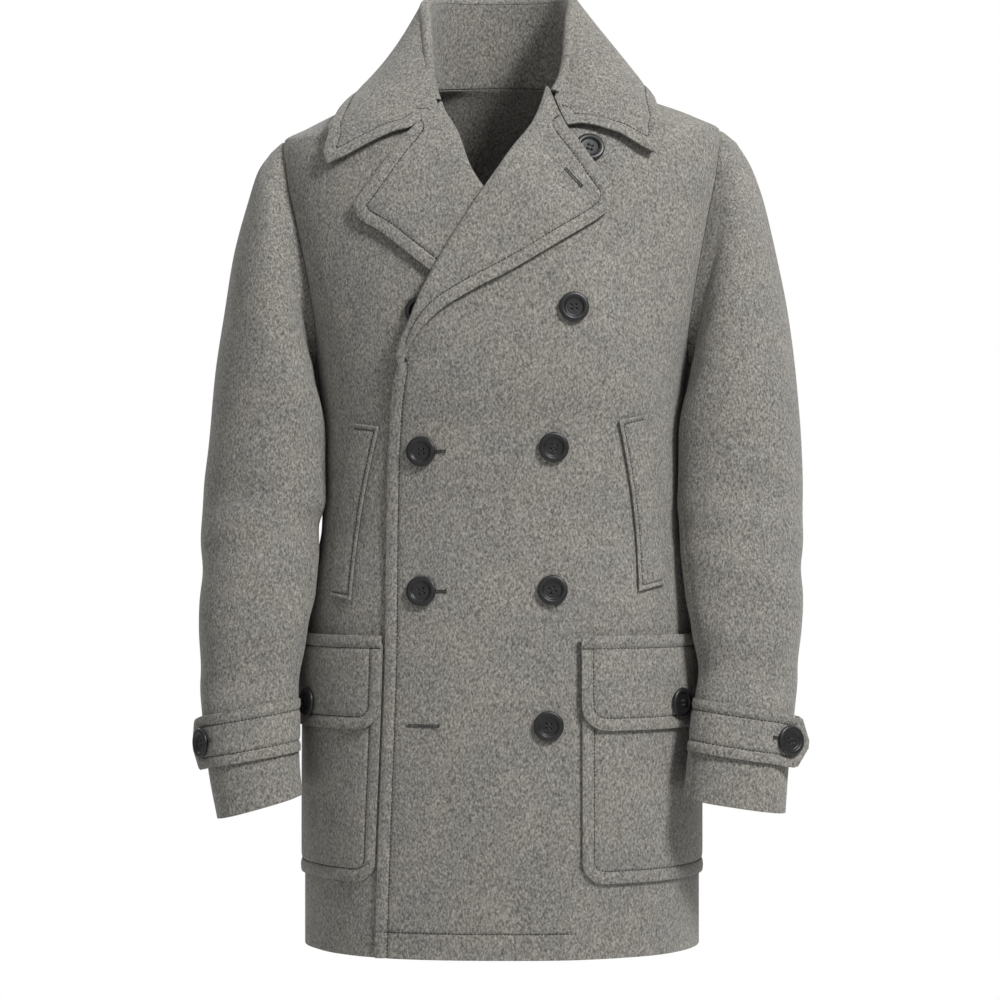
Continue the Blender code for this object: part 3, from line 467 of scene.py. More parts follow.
def left_front_out(x, z):
    """How far the left front stands off the body: it lies on the right front and its lapel."""
    x, z = np.asarray(x, float), np.asarray(z, float)
    beyond = 1 - fade(0.034, 0.094, x - right_edge(z))
    lapel = fade(BREAK_Z - 0.064, BREAK_Z - 0.018, z) * (1 - fade(-0.095, -0.045, z))
    layers = (CLOTH + LAY) * (1 - fade(-0.075, -0.020, z)) + LAPEL_LAYER * lapel
    _, button_x, button_z = HIDDEN_BUTTON
    near = ((x - button_x) ** 2 + (z - button_z) ** 2) / BUTTON_SWELL_REACH ** 2
    return layers * beyond + BUTTON_SWELL * np.exp(-near ** 2)


def right_front_out(x, z):
    return 0.0 * np.asarray(x, float)


def unit(vectors):
    return vectors / np.linalg.norm(vectors, axis=-1, keepdims=True)


def across(vectors, *others):
    """The vectors without their share along each of the unit vectors in `others`."""
    for other in others:
        vectors = vectors - other * (vectors * other).sum(axis=-1, keepdims=True)
    return unit(vectors)


def armhole(step, side):
    """Angle and height of the armhole at a step of the sleeve's ring, 0 at the shoulder."""
    around = np.asarray(step, float) * math.pi / ARMHOLE_STEPS
    z = (SHOULDER_Z + UNDERARM_Z) / 2 + (SHOULDER_Z - UNDERARM_Z) / 2 * np.cos(around)
    reach = np.where(np.sin(around) > 0, -ARMHOLE_FRONT, ARMHOLE_BACK)
    return side * (math.pi / 2 + reach * np.abs(np.sin(around)) ** 0.75), z


def side_turn(z, back):
    """Angle of a panel's outer side: the side seam, the armhole, then the shoulder seam."""
    middle, half = (SHOULDER_Z + UNDERARM_Z) / 2, (SHOULDER_Z - UNDERARM_Z) / 2
    around = np.arccos(np.clip((z - middle) / half, -1, 1))
    reach = ARMHOLE_BACK if back else -ARMHOLE_FRONT
    return math.pi / 2 + reach * np.sin(around) ** 0.75


def collar_end(points, share):
    """A front end of the collar at shares of its length, lifted off the body."""
    length = np.concatenate([[0], np.cumsum(np.linalg.norm(np.diff(points, axis=0), axis=1))])
    at = share * length[-1]
    near, far = COLLAR_END_LIFT
    out = near + (far - near) * share
    return on_front(np.interp(at, length, points[:, 0]), np.interp(at, length, points[:, 1]), out)


def collar_frame(along):
    """Neckline, roll's centre, outer edge, and the roll's own sideways and upward ways."""
    station = spline(COLLAR_STATIONS, along)
    neck = body(np.radians(station[:, 0]), NECK_Z, -CLOTH / 2)
    roll = station[:, 1:4]
    edge = body(np.radians(station[:, 4]), station[:, 5], station[:, 6])
    run = unit(spline(COLLAR_STATIONS, along + 0.01)[:, 1:4] - spline(COLLAR_STATIONS, along - 0.01)[:, 1:4])
    rise = across(UP + 0 * run, run)
    heading = across(edge - roll, run, rise)
    return neck, roll - rise * COLLAR_ROLL_RADIUS, edge, heading, rise


def sleeve_ring_points(side, table, ring, step):
    """A sleeve's surface at ring (0 at the armhole) and step (20 to a turn)."""
    ring, step = np.broadcast_arrays(np.asarray(ring, float), np.asarray(step, float))
    around = step * math.pi / ARMHOLE_STEPS
    last = len(table)
    rows = np.arange(1, last + 1)
    row = np.clip(ring, 1, last)
    outer_x, outer_z, inner_x, inner_z, middle_y, depth = (
        through(rows, table[:, column], row) for column in range(6))
    power = SLEEVE_POWER_TOP + (SLEEVE_POWER_CUFF - SLEEVE_POWER_TOP) * fade(6, last, ring)
    across, ahead = blunt(np.cos(around), power), blunt(np.sin(around), power)
    x = (outer_x + inner_x) / 2 + (outer_x - inner_x) / 2 * across
    z = (outer_z + inner_z) / 2 + (outer_z - inner_z) / 2 * across
    y = middle_y - depth * ahead
    for crease_ring, crease_step, deep, tall, wide in CREASES:
        turned = (step - crease_step + 10) % 20 - 10
        hollow = deep * np.exp(-((ring - crease_ring + 0.18 * turned) / tall) ** 2 - (turned / wide) ** 2)
        x = x - hollow * np.cos(around)
        y = y + hollow * np.sin(around)
    clear = SLEEVE_CLEARANCE + (FLAP_CLEARANCE - SLEEVE_CLEARANCE) * fade(-0.480, -0.512, z)
    clear = clear + (BUTTON_CLEARANCE - FLAP_CLEARANCE) * fade(-0.530, -0.562, z)
    width, front, back = body_ring(z)
    level = ((np.abs(x) / (width + clear)) ** BODY_POWER
             + (np.abs(y) / (np.where(y < 0, front, back) + clear)) ** BODY_POWER) ** (1 / BODY_POWER)
    soft = (1 + np.maximum(level, 0.5) ** -PUSH_POWER) ** (1 / PUSH_POWER)
    push = 1 + (soft - 1) * fade(-0.235, -0.275, z)
    tube = np.stack([side * x * push, y * push, z], axis=-1)
    turn, height = armhole(step, side)
    hole = body(turn, height, 0.0)
    hole[..., 0] += side * SEAM * 2
    nearer = np.clip(ring, 0, 1)[..., None]
    return hole + (tube - hole) * nearer


def sleeve_surface(side, table, ring, step, out):
    """The point that stands `out` off the sleeve."""
    small = 0.02
    up = (sleeve_ring_points(side, table, ring - small, step)
          - sleeve_ring_points(side, table, ring + small, step))
    round_it = (sleeve_ring_points(side, table, ring, step - small)
                - sleeve_ring_points(side, table, ring, step + small))
    return sleeve_ring_points(side, table, ring, step) + unit(np.cross(round_it, up)) * side * out


def rounded_side(z, bottom, corner):
    """The turn by which a side comes in near a round bottom corner."""
    rise = np.clip((z - bottom) / corner, 0, 1)
    return corner * (1 - np.sqrt(1 - (1 - rise) ** 2)) * CORNER_TURN


def pocket_inner(side, z, margin):
    """Where a pocket's inner side runs: the right one follows the left front's edge."""
    return POCKET_INNER_X - margin + 0 * z if side > 0 else left_edge(z) - POCKET_EDGE_GAP


def spaced(length, fine=0.0014, coarse=0.006, start_band=0.016, end_band=0.016):
    """Shares from 0 to 1 along a length: fine steps in a band at each end, coarse between."""
    marks = [np.arange(0, start_band, fine) if start_band else np.array([0.0])]
    inner = length - start_band - end_band
    count = max(2, int(round(inner / coarse)))
    marks.append(start_band + inner * np.arange(0, count) / count)
    marks.append(length - np.arange(0, end_band, fine)[::-1] if end_band else np.array([length]))
    return np.unique(np.round(np.concatenate(marks) / length, 6))


# ---------------------------------------------------------------- sewing
def edge_distance(points, border):
    """Distance of every point from the border's polyline, and how far along it that is."""
    a, run = border[:-1], np.diff(border, axis=0)
    length = np.linalg.norm(run, axis=1)
    begun = np.concatenate([[0], np.cumsum(length)])[:-1]
    best = np.full(points.shape[:-1], 1e9)
    along = np.zeros(points.shape[:-1])
    for start, step, size, before in zip(a, run, length, begun):
        share = np.clip(((points - start) @ step) / max(size * size, 1e-12), 0, 1)
        gap = np.linalg.norm(points - start - share[..., None] * step, axis=-1)
        nearer = gap < best
        best = np.where(nearer, gap, best)
        along = np.where(nearer, before + share * size, along)
    return best, along


def normals_of(grid):
    """Unit normals of a grid of points: down the rows crossed with over the columns."""
    down, over = np.gradient(grid, axis=0), np.gradient(grid, axis=1)
    return unit(np.cross(over, down))


def sewn_relief(distance, inset=STITCH_INSET):
    """A narrow valley along the row of stitches and a slight swell between it and the edge."""
    valley = -GROOVE_DEPTH * np.exp(-((distance - inset) / GROOVE_WIDTH) ** 2)
    wide = -0.35 * GROOVE_DEPTH * np.exp(-((distance - inset) / (3.5 * GROOVE_WIDTH)) ** 2)
    swell = PUFF * np.sin(np.pi * np.clip(distance / inset, 0, 1))
    return valley + wide + swell


def row_path(grid, outward, distance, along, inset, offset=0.0):
    """Points and normals where the distance from the edge equals the inset, in order along it."""
    found, ways, places = [], [], []
    for axis in (0, 1):
        near, far = [np.take(distance, np.arange(n0, distance.shape[axis] - 1 + n0), axis) for n0 in (0, 1)]
        cross = (near - inset) * (far - inset) < 0
        share = ((inset - near) / np.where(cross, far - near, 1.0))[..., None]
        for source, target in ((grid, found), (outward, ways), (along[..., None], places)):
            a, b = [np.take(source, np.arange(n0, source.shape[axis] - 1 + n0), axis) for n0 in (0, 1)]
            target.append((a * (1 - share) + b * share)[cross])
    found, ways, places = (np.concatenate(part) for part in (found, ways, places))
    order = np.argsort(places[:, 0])
    return found[order] + ways[order] * offset, unit(ways[order])


def resample(path, ways, pitch):
    """Points every `pitch` along a path, with their normals, after the path is made even."""
    keep = np.concatenate([[True], np.linalg.norm(np.diff(path, axis=0), axis=1) > 2e-4])
    path, ways = path[keep], ways[keep]
    length = np.concatenate([[0], np.cumsum(np.linalg.norm(np.diff(path, axis=0), axis=1))])
    at = np.arange(0, length[-1], pitch)
    points = np.stack([np.interp(at, length, path[:, k]) for k in range(3)], axis=1)
    normal = np.stack([np.interp(at, length, ways[:, k]) for k in range(3)], axis=1)
    return points, unit(normal)


def stitches(path, ways, pitch=STITCH_PITCH, radius=STITCH_RADIUS):
    """Separate stitches along a path: each a spindle of five rings of five points."""
    points, normal = resample(path, ways, pitch)
    start, stop = points[:-1], points[1:]
    ok = np.linalg.norm(stop - start, axis=1) < 1.6 * pitch
    start, stop, normal = start[ok], stop[ok], normal[:-1][ok]
    run = unit(stop - start)
    side = unit(np.cross(run, normal))
    share = np.array([0.03, 0.18, 0.48, 0.78, 0.93])
    girth = np.array([0.25, 0.85, 1.0, 0.85, 0.25]) * radius
    sink = np.array([-1.6, -0.3, 0.5, -0.3, -1.6]) * radius
    turn = np.arange(5) * 2 * np.pi / 5
    middle = start[:, None] + (stop - start)[:, None] * share[None, :, None] + normal[:, None] * sink[None, :, None]
    ring = (side[:, None, None] * np.cos(turn)[None, None, :, None]
            + normal[:, None, None] * np.sin(turn)[None, None, :, None])
    verts = middle[:, :, None] + ring * girth[None, :, None, None]
    count = len(start)
    k = np.arange(5)
    base = np.arange(4)[:, None] * 5
    quad = np.stack([base + k, base + (k + 1) % 5, base + 5 + (k + 1) % 5, base + 5 + k], axis=-1).reshape(-1, 4)
    quads = (quad[None] + np.arange(count)[:, None, None] * 25).reshape(-1, 4)
    caps = np.stack([k[::-1], 20 + k])
    ends = (caps[None] + np.arange(count)[:, None, None] * 25).reshape(-1, 5)
    return verts.reshape(-1, 3), quads.tolist() + ends.tolist()


THREAD = {"points": [], "faces": [], "count": 0}


def add_thread(made):
    points, faces = made
    THREAD["points"].append(points)
    THREAD["faces"] += [[v + THREAD["count"] for v in face] for face in faces]
    THREAD["count"] += len(points)


# ---------------------------------------------------------------- making pieces
def mesh_piece(name, points, faces, uv=None):
    """A smooth mesh at the origin from points and faces."""
    mesh = bpy.data.meshes.new(name)
    mesh.from_pydata(np.asarray(points).tolist(), [], faces if isinstance(faces, list) else faces.tolist())
    mesh.shade_smooth()
    if uv is not None:
        layer = mesh.uv_layers.new(name="cloth")
        corner = np.empty(len(mesh.loops), dtype=np.int32)
        mesh.loops.foreach_get("vertex_index", corner)
        layer.data.foreach_set("uv", uv[corner].astype(np.float32).ravel())
    obj = bpy.data.objects.new(name, mesh)
    bpy.context.scene.collection.objects.link(obj)
    return obj


def cloth_piece(node, grid, thickness=CLOTH, side=-1.0, flip=False, soft=EDGE_ROUND):
    """A wall of cloth through a grid, with round edges and the flat size it was cut to."""
    rows, columns = grid.shape[:2]
    over = np.concatenate([np.zeros((rows, 1)), np.cumsum(np.linalg.norm(np.diff(grid, axis=1), axis=2), axis=1)], axis=1)
    down = np.concatenate([np.zeros((1, columns)), np.cumsum(np.linalg.norm(np.diff(grid, axis=0), axis=2), axis=0)])
    uv = np.stack([over, down], axis=-1).reshape(-1, 2)
    number = np.arange(rows * columns).reshape(rows, columns)
    quads = np.stack([number[:-1, :-1], number[:-1, 1:], number[1:, 1:], number[1:, :-1]], axis=-1).reshape(-1, 4)
    if flip:
        quads = quads[:, ::-1]
    piece = mesh_piece(f"wool_{node}", grid.reshape(-1, 3), quads, uv)
    wall = piece.modifiers.new("Wall", "SOLIDIFY")
    wall.thickness = thickness
    wall.offset = side
    wall.use_rim = True
    edge = piece.modifiers.new("Soft edge", "BEVEL")
    edge.width = soft
    edge.segments = 2
    edge.limit_method = "ANGLE"
    edge.angle_limit = math.radians(50)
    piece.data.materials.append(FINISH["wool"])
    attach(piece, "root")
    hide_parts(node)
    return piece


# ---------------------------------------------------------------- finishes
def node(tree, kind, place, **values):
    made = tree.nodes.new(kind)
    made.location = place
    for key, value in values.items():
        if key in made.inputs:
            made.inputs[key].default_value = value
        else:
            setattr(made, key, value)
    return made


def ramp(tree, source, stops, place):
    """A colour ramp from stops of place and grey or colour."""
    made = tree.nodes.new("ShaderNodeValToRGB")
    made.location = place
    while len(made.color_ramp.elements) < len(stops):
        made.color_ramp.elements.new(0.5)
    for element, (at, colour) in zip(made.color_ramp.elements, stops):
        element.position = at
        element.color = colour if len(colour) == 4 else (*colour, 1.0)
    tree.links.new(source, made.inputs["Fac"])
    return made


def mixed(tree, kind, first, second, share, place):
    made = tree.nodes.new("ShaderNodeMix")
    made.data_type = "RGBA"
    made.blend_type = kind
    made.location = place
    for socket, value in ((made.inputs[6], first), (made.inputs[7], second), (made.inputs[0], share)):
        if hasattr(value, "links"):
            tree.links.new(value, socket)
        else:
            socket.default_value = value
    return made.outputs[2]


def noise(tree, coords, scale, detail, place, roughness=0.55, distortion=0.0):
    made = node(tree, "ShaderNodeTexNoise", place)
    made.inputs["Scale"].default_value = scale
    made.inputs["Detail"].default_value = detail
    made.inputs["Roughness"].default_value = roughness
    made.inputs["Distortion"].default_value = distortion
    tree.links.new(coords, made.inputs["Vector"])
    return made.outputs["Fac"]


def wool_finish(name, dark, light, fleck=1.0):
    """Brushed melange wool: clumps of light and dark fibres, a fine nap and a soft sheen."""
    material = bpy.data.materials.new(name)
    material.use_nodes = True
    tree = material.node_tree
    shader = tree.nodes["Principled BSDF"]
    coords = node(tree, "ShaderNodeTexCoord", (-1500, 0)).outputs["Object"]
    stretch = node(tree, "ShaderNodeMapping", (-1300, 120))
    stretch.inputs["Rotation"].default_value = (0.0, math.radians(28), 0.0)
    stretch.inputs["Scale"].default_value = (1.0, 1.0, 0.62)
    tree.links.new(coords, stretch.inputs["Vector"])
    clumps = noise(tree, stretch.outputs["Vector"], 560.0, 2.0, (-1050, 260), 0.6, 0.3)
    fibres = noise(tree, stretch.outputs["Vector"], 1600.0, 2.0, (-1050, 40), 0.7, 0.8)
    broad = noise(tree, coords, 26.0, 2.0, (-1050, -180))
    tone = ramp(tree, clumps, [(0.30, dark), (0.47, tuple(0.62 * d + 0.38 * l for d, l in zip(dark, light))),
                               (0.56, tuple(0.40 * d + 0.60 * l for d, l in zip(dark, light))), (0.72, light)], (-800, 260))
    hair = ramp(tree, fibres, [(0.30, (0.62, 0.62, 0.63)), (0.50, (1.0, 1.0, 1.0)), (0.68, (1.42, 1.41, 1.38))], (-800, 40))
    warm = ramp(tree, broad, [(0.35, (0.95, 0.955, 0.97)), (0.65, (1.05, 1.04, 1.02))], (-800, -180))
    colour = mixed(tree, "MULTIPLY", tone.outputs["Color"], hair.outputs["Color"], 0.85 * fleck, (-520, 200))
    colour = mixed(tree, "MULTIPLY", colour, warm.outputs["Color"], 1.0, (-340, 120))
    tree.links.new(colour, shader.inputs["Base Color"])
    rough = ramp(tree, fibres, [(0.3, (0.86, 0.86, 0.86)), (0.7, (0.97, 0.97, 0.97))], (-520, -260))
    tree.links.new(rough.outputs["Color"], shader.inputs["Roughness"])
    shader.inputs["Specular IOR Level"].default_value = 0.18
    shader.inputs["Sheen Weight"].default_value = 0.22
    shader.inputs["Sheen Roughness"].default_value = 0.55
    shader.inputs["Sheen Tint"].default_value = (0.85, 0.85, 0.84, 1.0)
    height = mixed(tree, "MIX", clumps_colour(tree, clumps, (-520, -420)), clumps_colour(tree, fibres, (-520, -560)), 0.45, (-340, -460))
    bump = node(tree, "ShaderNodeBump", (-180, -380))
    bump.inputs["Strength"].default_value = 0.55
    bump.inputs["Distance"].default_value = 0.0007
    tree.links.new(height, bump.inputs["Height"])
    tree.links.new(bump.outputs["Normal"], shader.inputs["Normal"])
    return material


def clumps_colour(tree, value, place):
    """A noise value as a grey, so that two of them can be mixed for a height."""
    made = ramp(tree, value, [(0.25, (0.0, 0.0, 0.0)), (0.75, (1.0, 1.0, 1.0))], place)
    return made.outputs["Color"]


def button_finish():
    """Dark horn: charcoal with faint streaks, satin, with fine turning marks."""
    material = bpy.data.materials.new("dark_horn")
    material.use_nodes = True
    tree = material.node_tree
    shader = tree.nodes["Principled BSDF"]
    coords = node(tree, "ShaderNodeTexCoord", (-1100, 0)).outputs["Object"]
    streaks = noise(tree, coords, 160.0, 3.0, (-900, 120), 0.6, 1.6)
    fine = noise(tree, coords, 1500.0, 2.0, (-900, -120))
    tone = ramp(tree, streaks, [(0.30, (0.005, 0.005, 0.006)), (0.60, (0.011, 0.011, 0.012)), (0.80, (0.024, 0.023, 0.023))], (-640, 120))
    tree.links.new(tone.outputs["Color"], shader.inputs["Base Color"])
    rough = ramp(tree, fine, [(0.3, (0.36, 0.36, 0.36)), (0.7, (0.46, 0.46, 0.46))], (-640, -120))
    tree.links.new(rough.outputs["Color"], shader.inputs["Roughness"])
    shader.inputs["Specular IOR Level"].default_value = 0.5
    bump = node(tree, "ShaderNodeBump", (-300, -260))
    bump.inputs["Strength"].default_value = 0.15
    bump.inputs["Distance"].default_value = 0.0002
    tree.links.new(fine, bump.inputs["Height"])
    tree.links.new(bump.outputs["Normal"], shader.inputs["Normal"])
    return material


def thread_finish(name, colour):
    """Twisted sewing thread."""
    material = bpy.data.materials.new(name)
    material.use_nodes = True
    tree = material.node_tree
    shader = tree.nodes["Principled BSDF"]
    coords = node(tree, "ShaderNodeTexCoord", (-900, 0)).outputs["Object"]
    twist = noise(tree, coords, 2400.0, 1.0, (-700, 60))
    tone = ramp(tree, twist, [(0.3, tuple(0.7 * c for c in colour)), (0.7, tuple(1.25 * c for c in colour))], (-460, 60))
    tree.links.new(tone.outputs["Color"], shader.inputs["Base Color"])
    shader.inputs["Roughness"].default_value = 0.75
    return material


WOOL_DARK = (0.082, 0.079, 0.074)
WOOL_LIGHT = (0.330, 0.317, 0.287)
FINISH = {
    "wool": wool_finish("melange_wool", WOOL_DARK, WOOL_LIGHT),
    "button": button_finish(),
    # Sewing thread, near-black: painted shade. The real thread is grey like the wool; this dark colour draws the
    # shadow of the grooves the stitches lie in.
    "thread": thread_finish("thread_darkened_for_groove_shade", (0.020, 0.0195, 0.019)),
    "dark_thread": thread_finish("charcoal_thread", (0.030, 0.030, 0.032)),
}


# ---------------------------------------------------------------- body panels
def panel_rows():
    """Heights of a panel's rows: close together by the hem, and round the armhole's two ends."""
    hem = HEM_Z + np.array([0, 0.0012, 0.003, 0.006, 0.010, 0.014, 0.018, 0.0205, 0.0222, 0.0232, 0.024, 0.0248,
                            0.0258, 0.0275, 0.031, 0.036])
    low = np.linspace(hem[-1], UNDERARM_Z, 88)[1:]
    middle, half = (SHOULDER_Z + UNDERARM_Z) / 2, (SHOULDER_Z - UNDERARM_Z) / 2
    beside = middle + half * np.cos(np.linspace(np.pi, 0, 41)[1:])
    above = np.linspace(SHOULDER_Z, NECK_Z, 17)[1:]
    return np.concatenate([hem, low, beside, above])


def seam_sink(share_left, width):
    """How far a panel sinks towards a seam, at a distance from it."""
    return -0.0009 * np.exp(-(share_left / width) ** 2)


def front_piece(node, side, edge, out, edge_limit):
    """A front: rows are heights, columns run from its own edge or roll line to the side seam."""
    z = panel_rows()[:, None]
    near = np.concatenate([np.arange(0, 0.017, 0.0013), [0.020, 0.026]])
    first = side * 1.0
    x_near = edge(z) + first * near[None, :] * (1 - 0.8 * fade(-0.06, -0.01, z))
    turn_near = turn_at(x_near, z)
    end = side * side_turn(z, False)
    begin = turn_near[:, -1:]
    share = spaced(0.26, fine=0.0022, coarse=0.0075, start_band=0.0, end_band=0.008)[1:]
    turn = np.concatenate([turn_near, begin + (end - begin) * share[None, :]], axis=1)
    z = z + 0 * turn
    lift = out(x_at(turn, z), z)
    base = body(turn, z, lift)
    seam = np.linalg.norm(base - base[:, -1:], axis=-1)
    lift = lift + seam_sink(seam, 0.004)
    rim = base[:, 0][z[:, 0] < edge_limit]
    distance, along = edge_distance(base, rim)
    upper = fade(edge_limit + 0.008, edge_limit - 0.004, z) * (z < edge_limit + 0.008)
    relief = sewn_relief(distance) * upper
    if side > 0:
        hem_row = -GROOVE_DEPTH * np.exp(-((z - HEM_Z - HEM_STITCH) / GROOVE_WIDTH) ** 2)
        relief = relief + hem_row * (1 - fade(HEM_STITCH_END_X - 0.004, HEM_STITCH_END_X, x_at(turn, z)))
    grid = body(turn, z, lift + relief)
    grid[:, -1, 1] += SEAM * 0.3
    cloth_piece(node, grid, flip=side < 0, soft=SEAM_ROUND)
    outward = normals_of(grid) * side
    if side > 0:
        add_thread(stitches(*row_path(grid, outward, distance, along, STITCH_INSET, STITCH_RADIUS * 0.4)))
        x = np.linspace(float(left_edge(HEM_Z)) + 0.004, HEM_STITCH_END_X, 90)
        height = HEM_Z + HEM_STITCH + 0 * x
        path = on_front(x, height, left_front_out(x, height) - GROOVE_DEPTH + STITCH_RADIUS * 0.4)
        above = on_front(x, height, left_front_out(x, height) + 0.01)
        add_thread(stitches(path, unit(above - path)))
    return grid


def back_piece():
    """The back: rows are heights, columns run round from the left side seam to the right one."""
    z = panel_rows()[:, None]
    start = side_turn(z, True)
    share = spaced(0.45, fine=0.0022, coarse=0.0075, start_band=0.008, end_band=0.008)
    turn = start + (2 * math.pi - 2 * start) * share[None, :]
    z = z + 0 * turn
    folds = BACK_FOLD_DEPTH * np.cos(BACK_FOLDS * turn) * fade(*BACK_FOLD_Z, z) * np.sin(turn / 2) ** 4
    base = body(turn, z, folds)
    seam = np.minimum(np.linalg.norm(base - base[:, :1], axis=-1), np.linalg.norm(base - base[:, -1:], axis=-1))
    centre = np.abs(base[..., 0])
    sink = seam_sink(seam, 0.004) + 0.7 * seam_sink(centre, 0.0022)
    grid = body(turn, z, folds + sink)
    grid[:, 0, 1] -= SEAM * 0.3
    grid[:, -1, 1] -= SEAM * 0.3
    cloth_piece("back", grid, soft=SEAM_ROUND)


# ---------------------------------------------------------------- lapels
def lapel_piece(side, edge, outline, front_out):
    """A turned-back lapel: each row starts on the roll line, bends over in a half round and lies on
    the front. The rows near the top lean towards the notch."""
    top = outline[-1, 0]
    heights = np.linspace(BREAK_Z, top, 84)
    up = (heights - heights[0]) / (heights[-1] - heights[0])
    flat = spaced(0.085, fine=0.0014, coarse=0.004, start_band=0.0, end_band=0.0165)
    notch = LAPEL_NOTCH[side]
    roll_z = heights + LAPEL_ROLL_RAISE[side] * up ** 4
    roll_x = edge(roll_z)
    edge_x = through(outline[:, 0], outline[:, 1], heights)
    edge_z = through(outline[:, 0], outline[:, 2], heights)
    bent = np.array([0.0, 0.26, 1.0])
    top_x = np.interp(flat, bent, (roll_x[-1], notch[0], edge_x[-1]))
    top_z = np.interp(flat, bent, (roll_z[-1], notch[1], edge_z[-1]))
    lean = (up ** 4)[:, None]
    x = roll_x[:, None] + (edge_x - roll_x)[:, None] * flat
    z = roll_z[:, None] + (edge_z - roll_z)[:, None] * flat
    x = x + lean * (top_x - roll_x[-1] - (edge_x[-1] - roll_x[-1]) * flat)
    z = z + lean * (top_z - roll_z[-1] - (edge_z[-1] - roll_z[-1]) * flat)
    proud = LAPEL_LIFT[side] * fade(LAPEL_RISE[side], 1.0, up)[:, None]
    lift = 2.0 * LAY + proud * (1 - 0.6 * fade(0.55, 1.0, flat))[None, :]
    lift = lift + LAPEL_EDGE_LIFT * fade(0.6, 1.0, flat)[None, :] * fade(0.04, 0.2, up)[:, None]
    radius = (CLOTH + lift[:, :1]) / 2
    away = unit(np.stack([roll_x - edge_x, roll_z - edge_z], axis=1))
    base = front_out(x, z)
    plain = on_front(x, z, base + lift + CLOTH / 2)
    outer = np.concatenate([plain[-1, :], plain[::-1, -1]])
    notch_at = np.argmin(np.abs(flat - 0.26))
    outer = outer[notch_at:]
    distance, along = edge_distance(plain, outer)
    low = fade(0.02, 0.10, up)[:, None]
    inset = STITCH_INSET * np.minimum(1.0, 0.25 + 0.75 * fade(0.0, 0.22, up))[:, None]
    relief = sewn_relief(distance, inset) * low
    lying = on_front(x, z, base + lift + CLOTH / 2 + relief)
    bend = np.radians(np.concatenate([[-90], np.linspace(-90, 60, 11)]))
    lead = np.concatenate([[2 * SEAM], [2 * SEAM + LEAD], np.full(9, LEAD), [LEAD * 0.6]])
    ahead = lead[None, :] + radius * np.cos(bend)[None, :]
    bend_x = roll_x[:, None] + away[:, :1] * ahead
    bend_z = roll_z[:, None] + away[:, 1:] * ahead
    bend_out = base[:, :1] + lift[:, :1] / 2 + radius * np.sin(bend)[None, :]
    grid = np.concatenate([on_front(bend_x, bend_z, bend_out), lying], axis=1)
    name = f"lapel_{side}"
    cloth_piece(name, grid, side=0.0, flip=side == "right")
    outward = normals_of(lying) * (1 if side == "right" else -1)
    outward = outward * np.sign(-outward[..., 1:2])
    rows = low[:, 0] > 0.5
    path = row_path(lying[rows], outward[rows], (distance / inset)[rows], along[rows], 1.0,
                    CLOTH / 2 + STITCH_RADIUS * 0.8)
    add_thread(stitches(*path))
    if side == "left":
        lapel_buttonhole(lying, outward)


# ---------------------------------------------------------------- collar
def collar_pieces():
    """The stand rises from the neckline to the roll. The fall bends over it and lies outside."""
    fine = 8
    along = np.linspace(0, 1, (FALL_COLUMNS - 1) * fine + 1)
    inside = slice(STAND_INSET * fine // 2, -(STAND_INSET * fine // 2))
    neck, centre, edge, heading, rise = collar_frame(along)
    top = centre - heading * COLLAR_ROLL_RADIUS - rise * LEAD
    foot = neck + UP * 2 * SEAM
    grid = np.array([(foot + (top - foot) * share)[inside] for share in np.linspace(0, 1, 22)])
    cloth_piece("collar_stand", grid, side=0.0, soft=SEAM_ROUND)
    radius = COLLAR_ROLL_RADIUS
    bow = spline(COLLAR_STATIONS, along)[:, 7:]
    rows = [centre - heading * radius - rise * (LEAD - 0.3 * SEAM)]
    for bend in np.radians(np.linspace(180, 20, 12)):
        rows.append(centre + heading * radius * math.cos(bend) + rise * radius * math.sin(bend))
    start = centre + heading * radius
    ends = ((COLLAR_END_RIGHT, 0, 1 - along), (COLLAR_END_LEFT, -1, along))
    for share in spaced(0.095, fine=0.0014, coarse=0.004, start_band=0.0, end_band=0.0165):
        swell = (heading * 0.6 + UP * 0.8) * math.sin(math.pi * share) * bow
        row = start + (edge - start) * share + swell
        target = [collar_end(points, np.array(share)) - row[index] for points, index, _ in ends]
        for change, (_, _, nearness) in zip(target, ends):
            row = row + change * fade(0.80, 1.0, nearness)[:, None]
        rows.append(row)
    base = np.array(rows)
    outward = normals_of(base)
    fall = base[13:]
    border = np.concatenate([fall[4:, 0], fall[-1, 1:-1], fall[4:, -1][::-1]])
    distance, along_edge = edge_distance(fall, border)
    grid = base.copy()
    grid[13:] = fall + outward[13:] * (sewn_relief(distance) * fade(0.0, 0.02, distance + 0.02))[..., None]
    cloth_piece("collar_fall", grid, side=0.0)
    ways = outward[13:]
    add_thread(stitches(*row_path(grid[13:], ways, distance, along_edge, STITCH_INSET,
                                  CLOTH / 2 + STITCH_RADIUS * 0.4)))


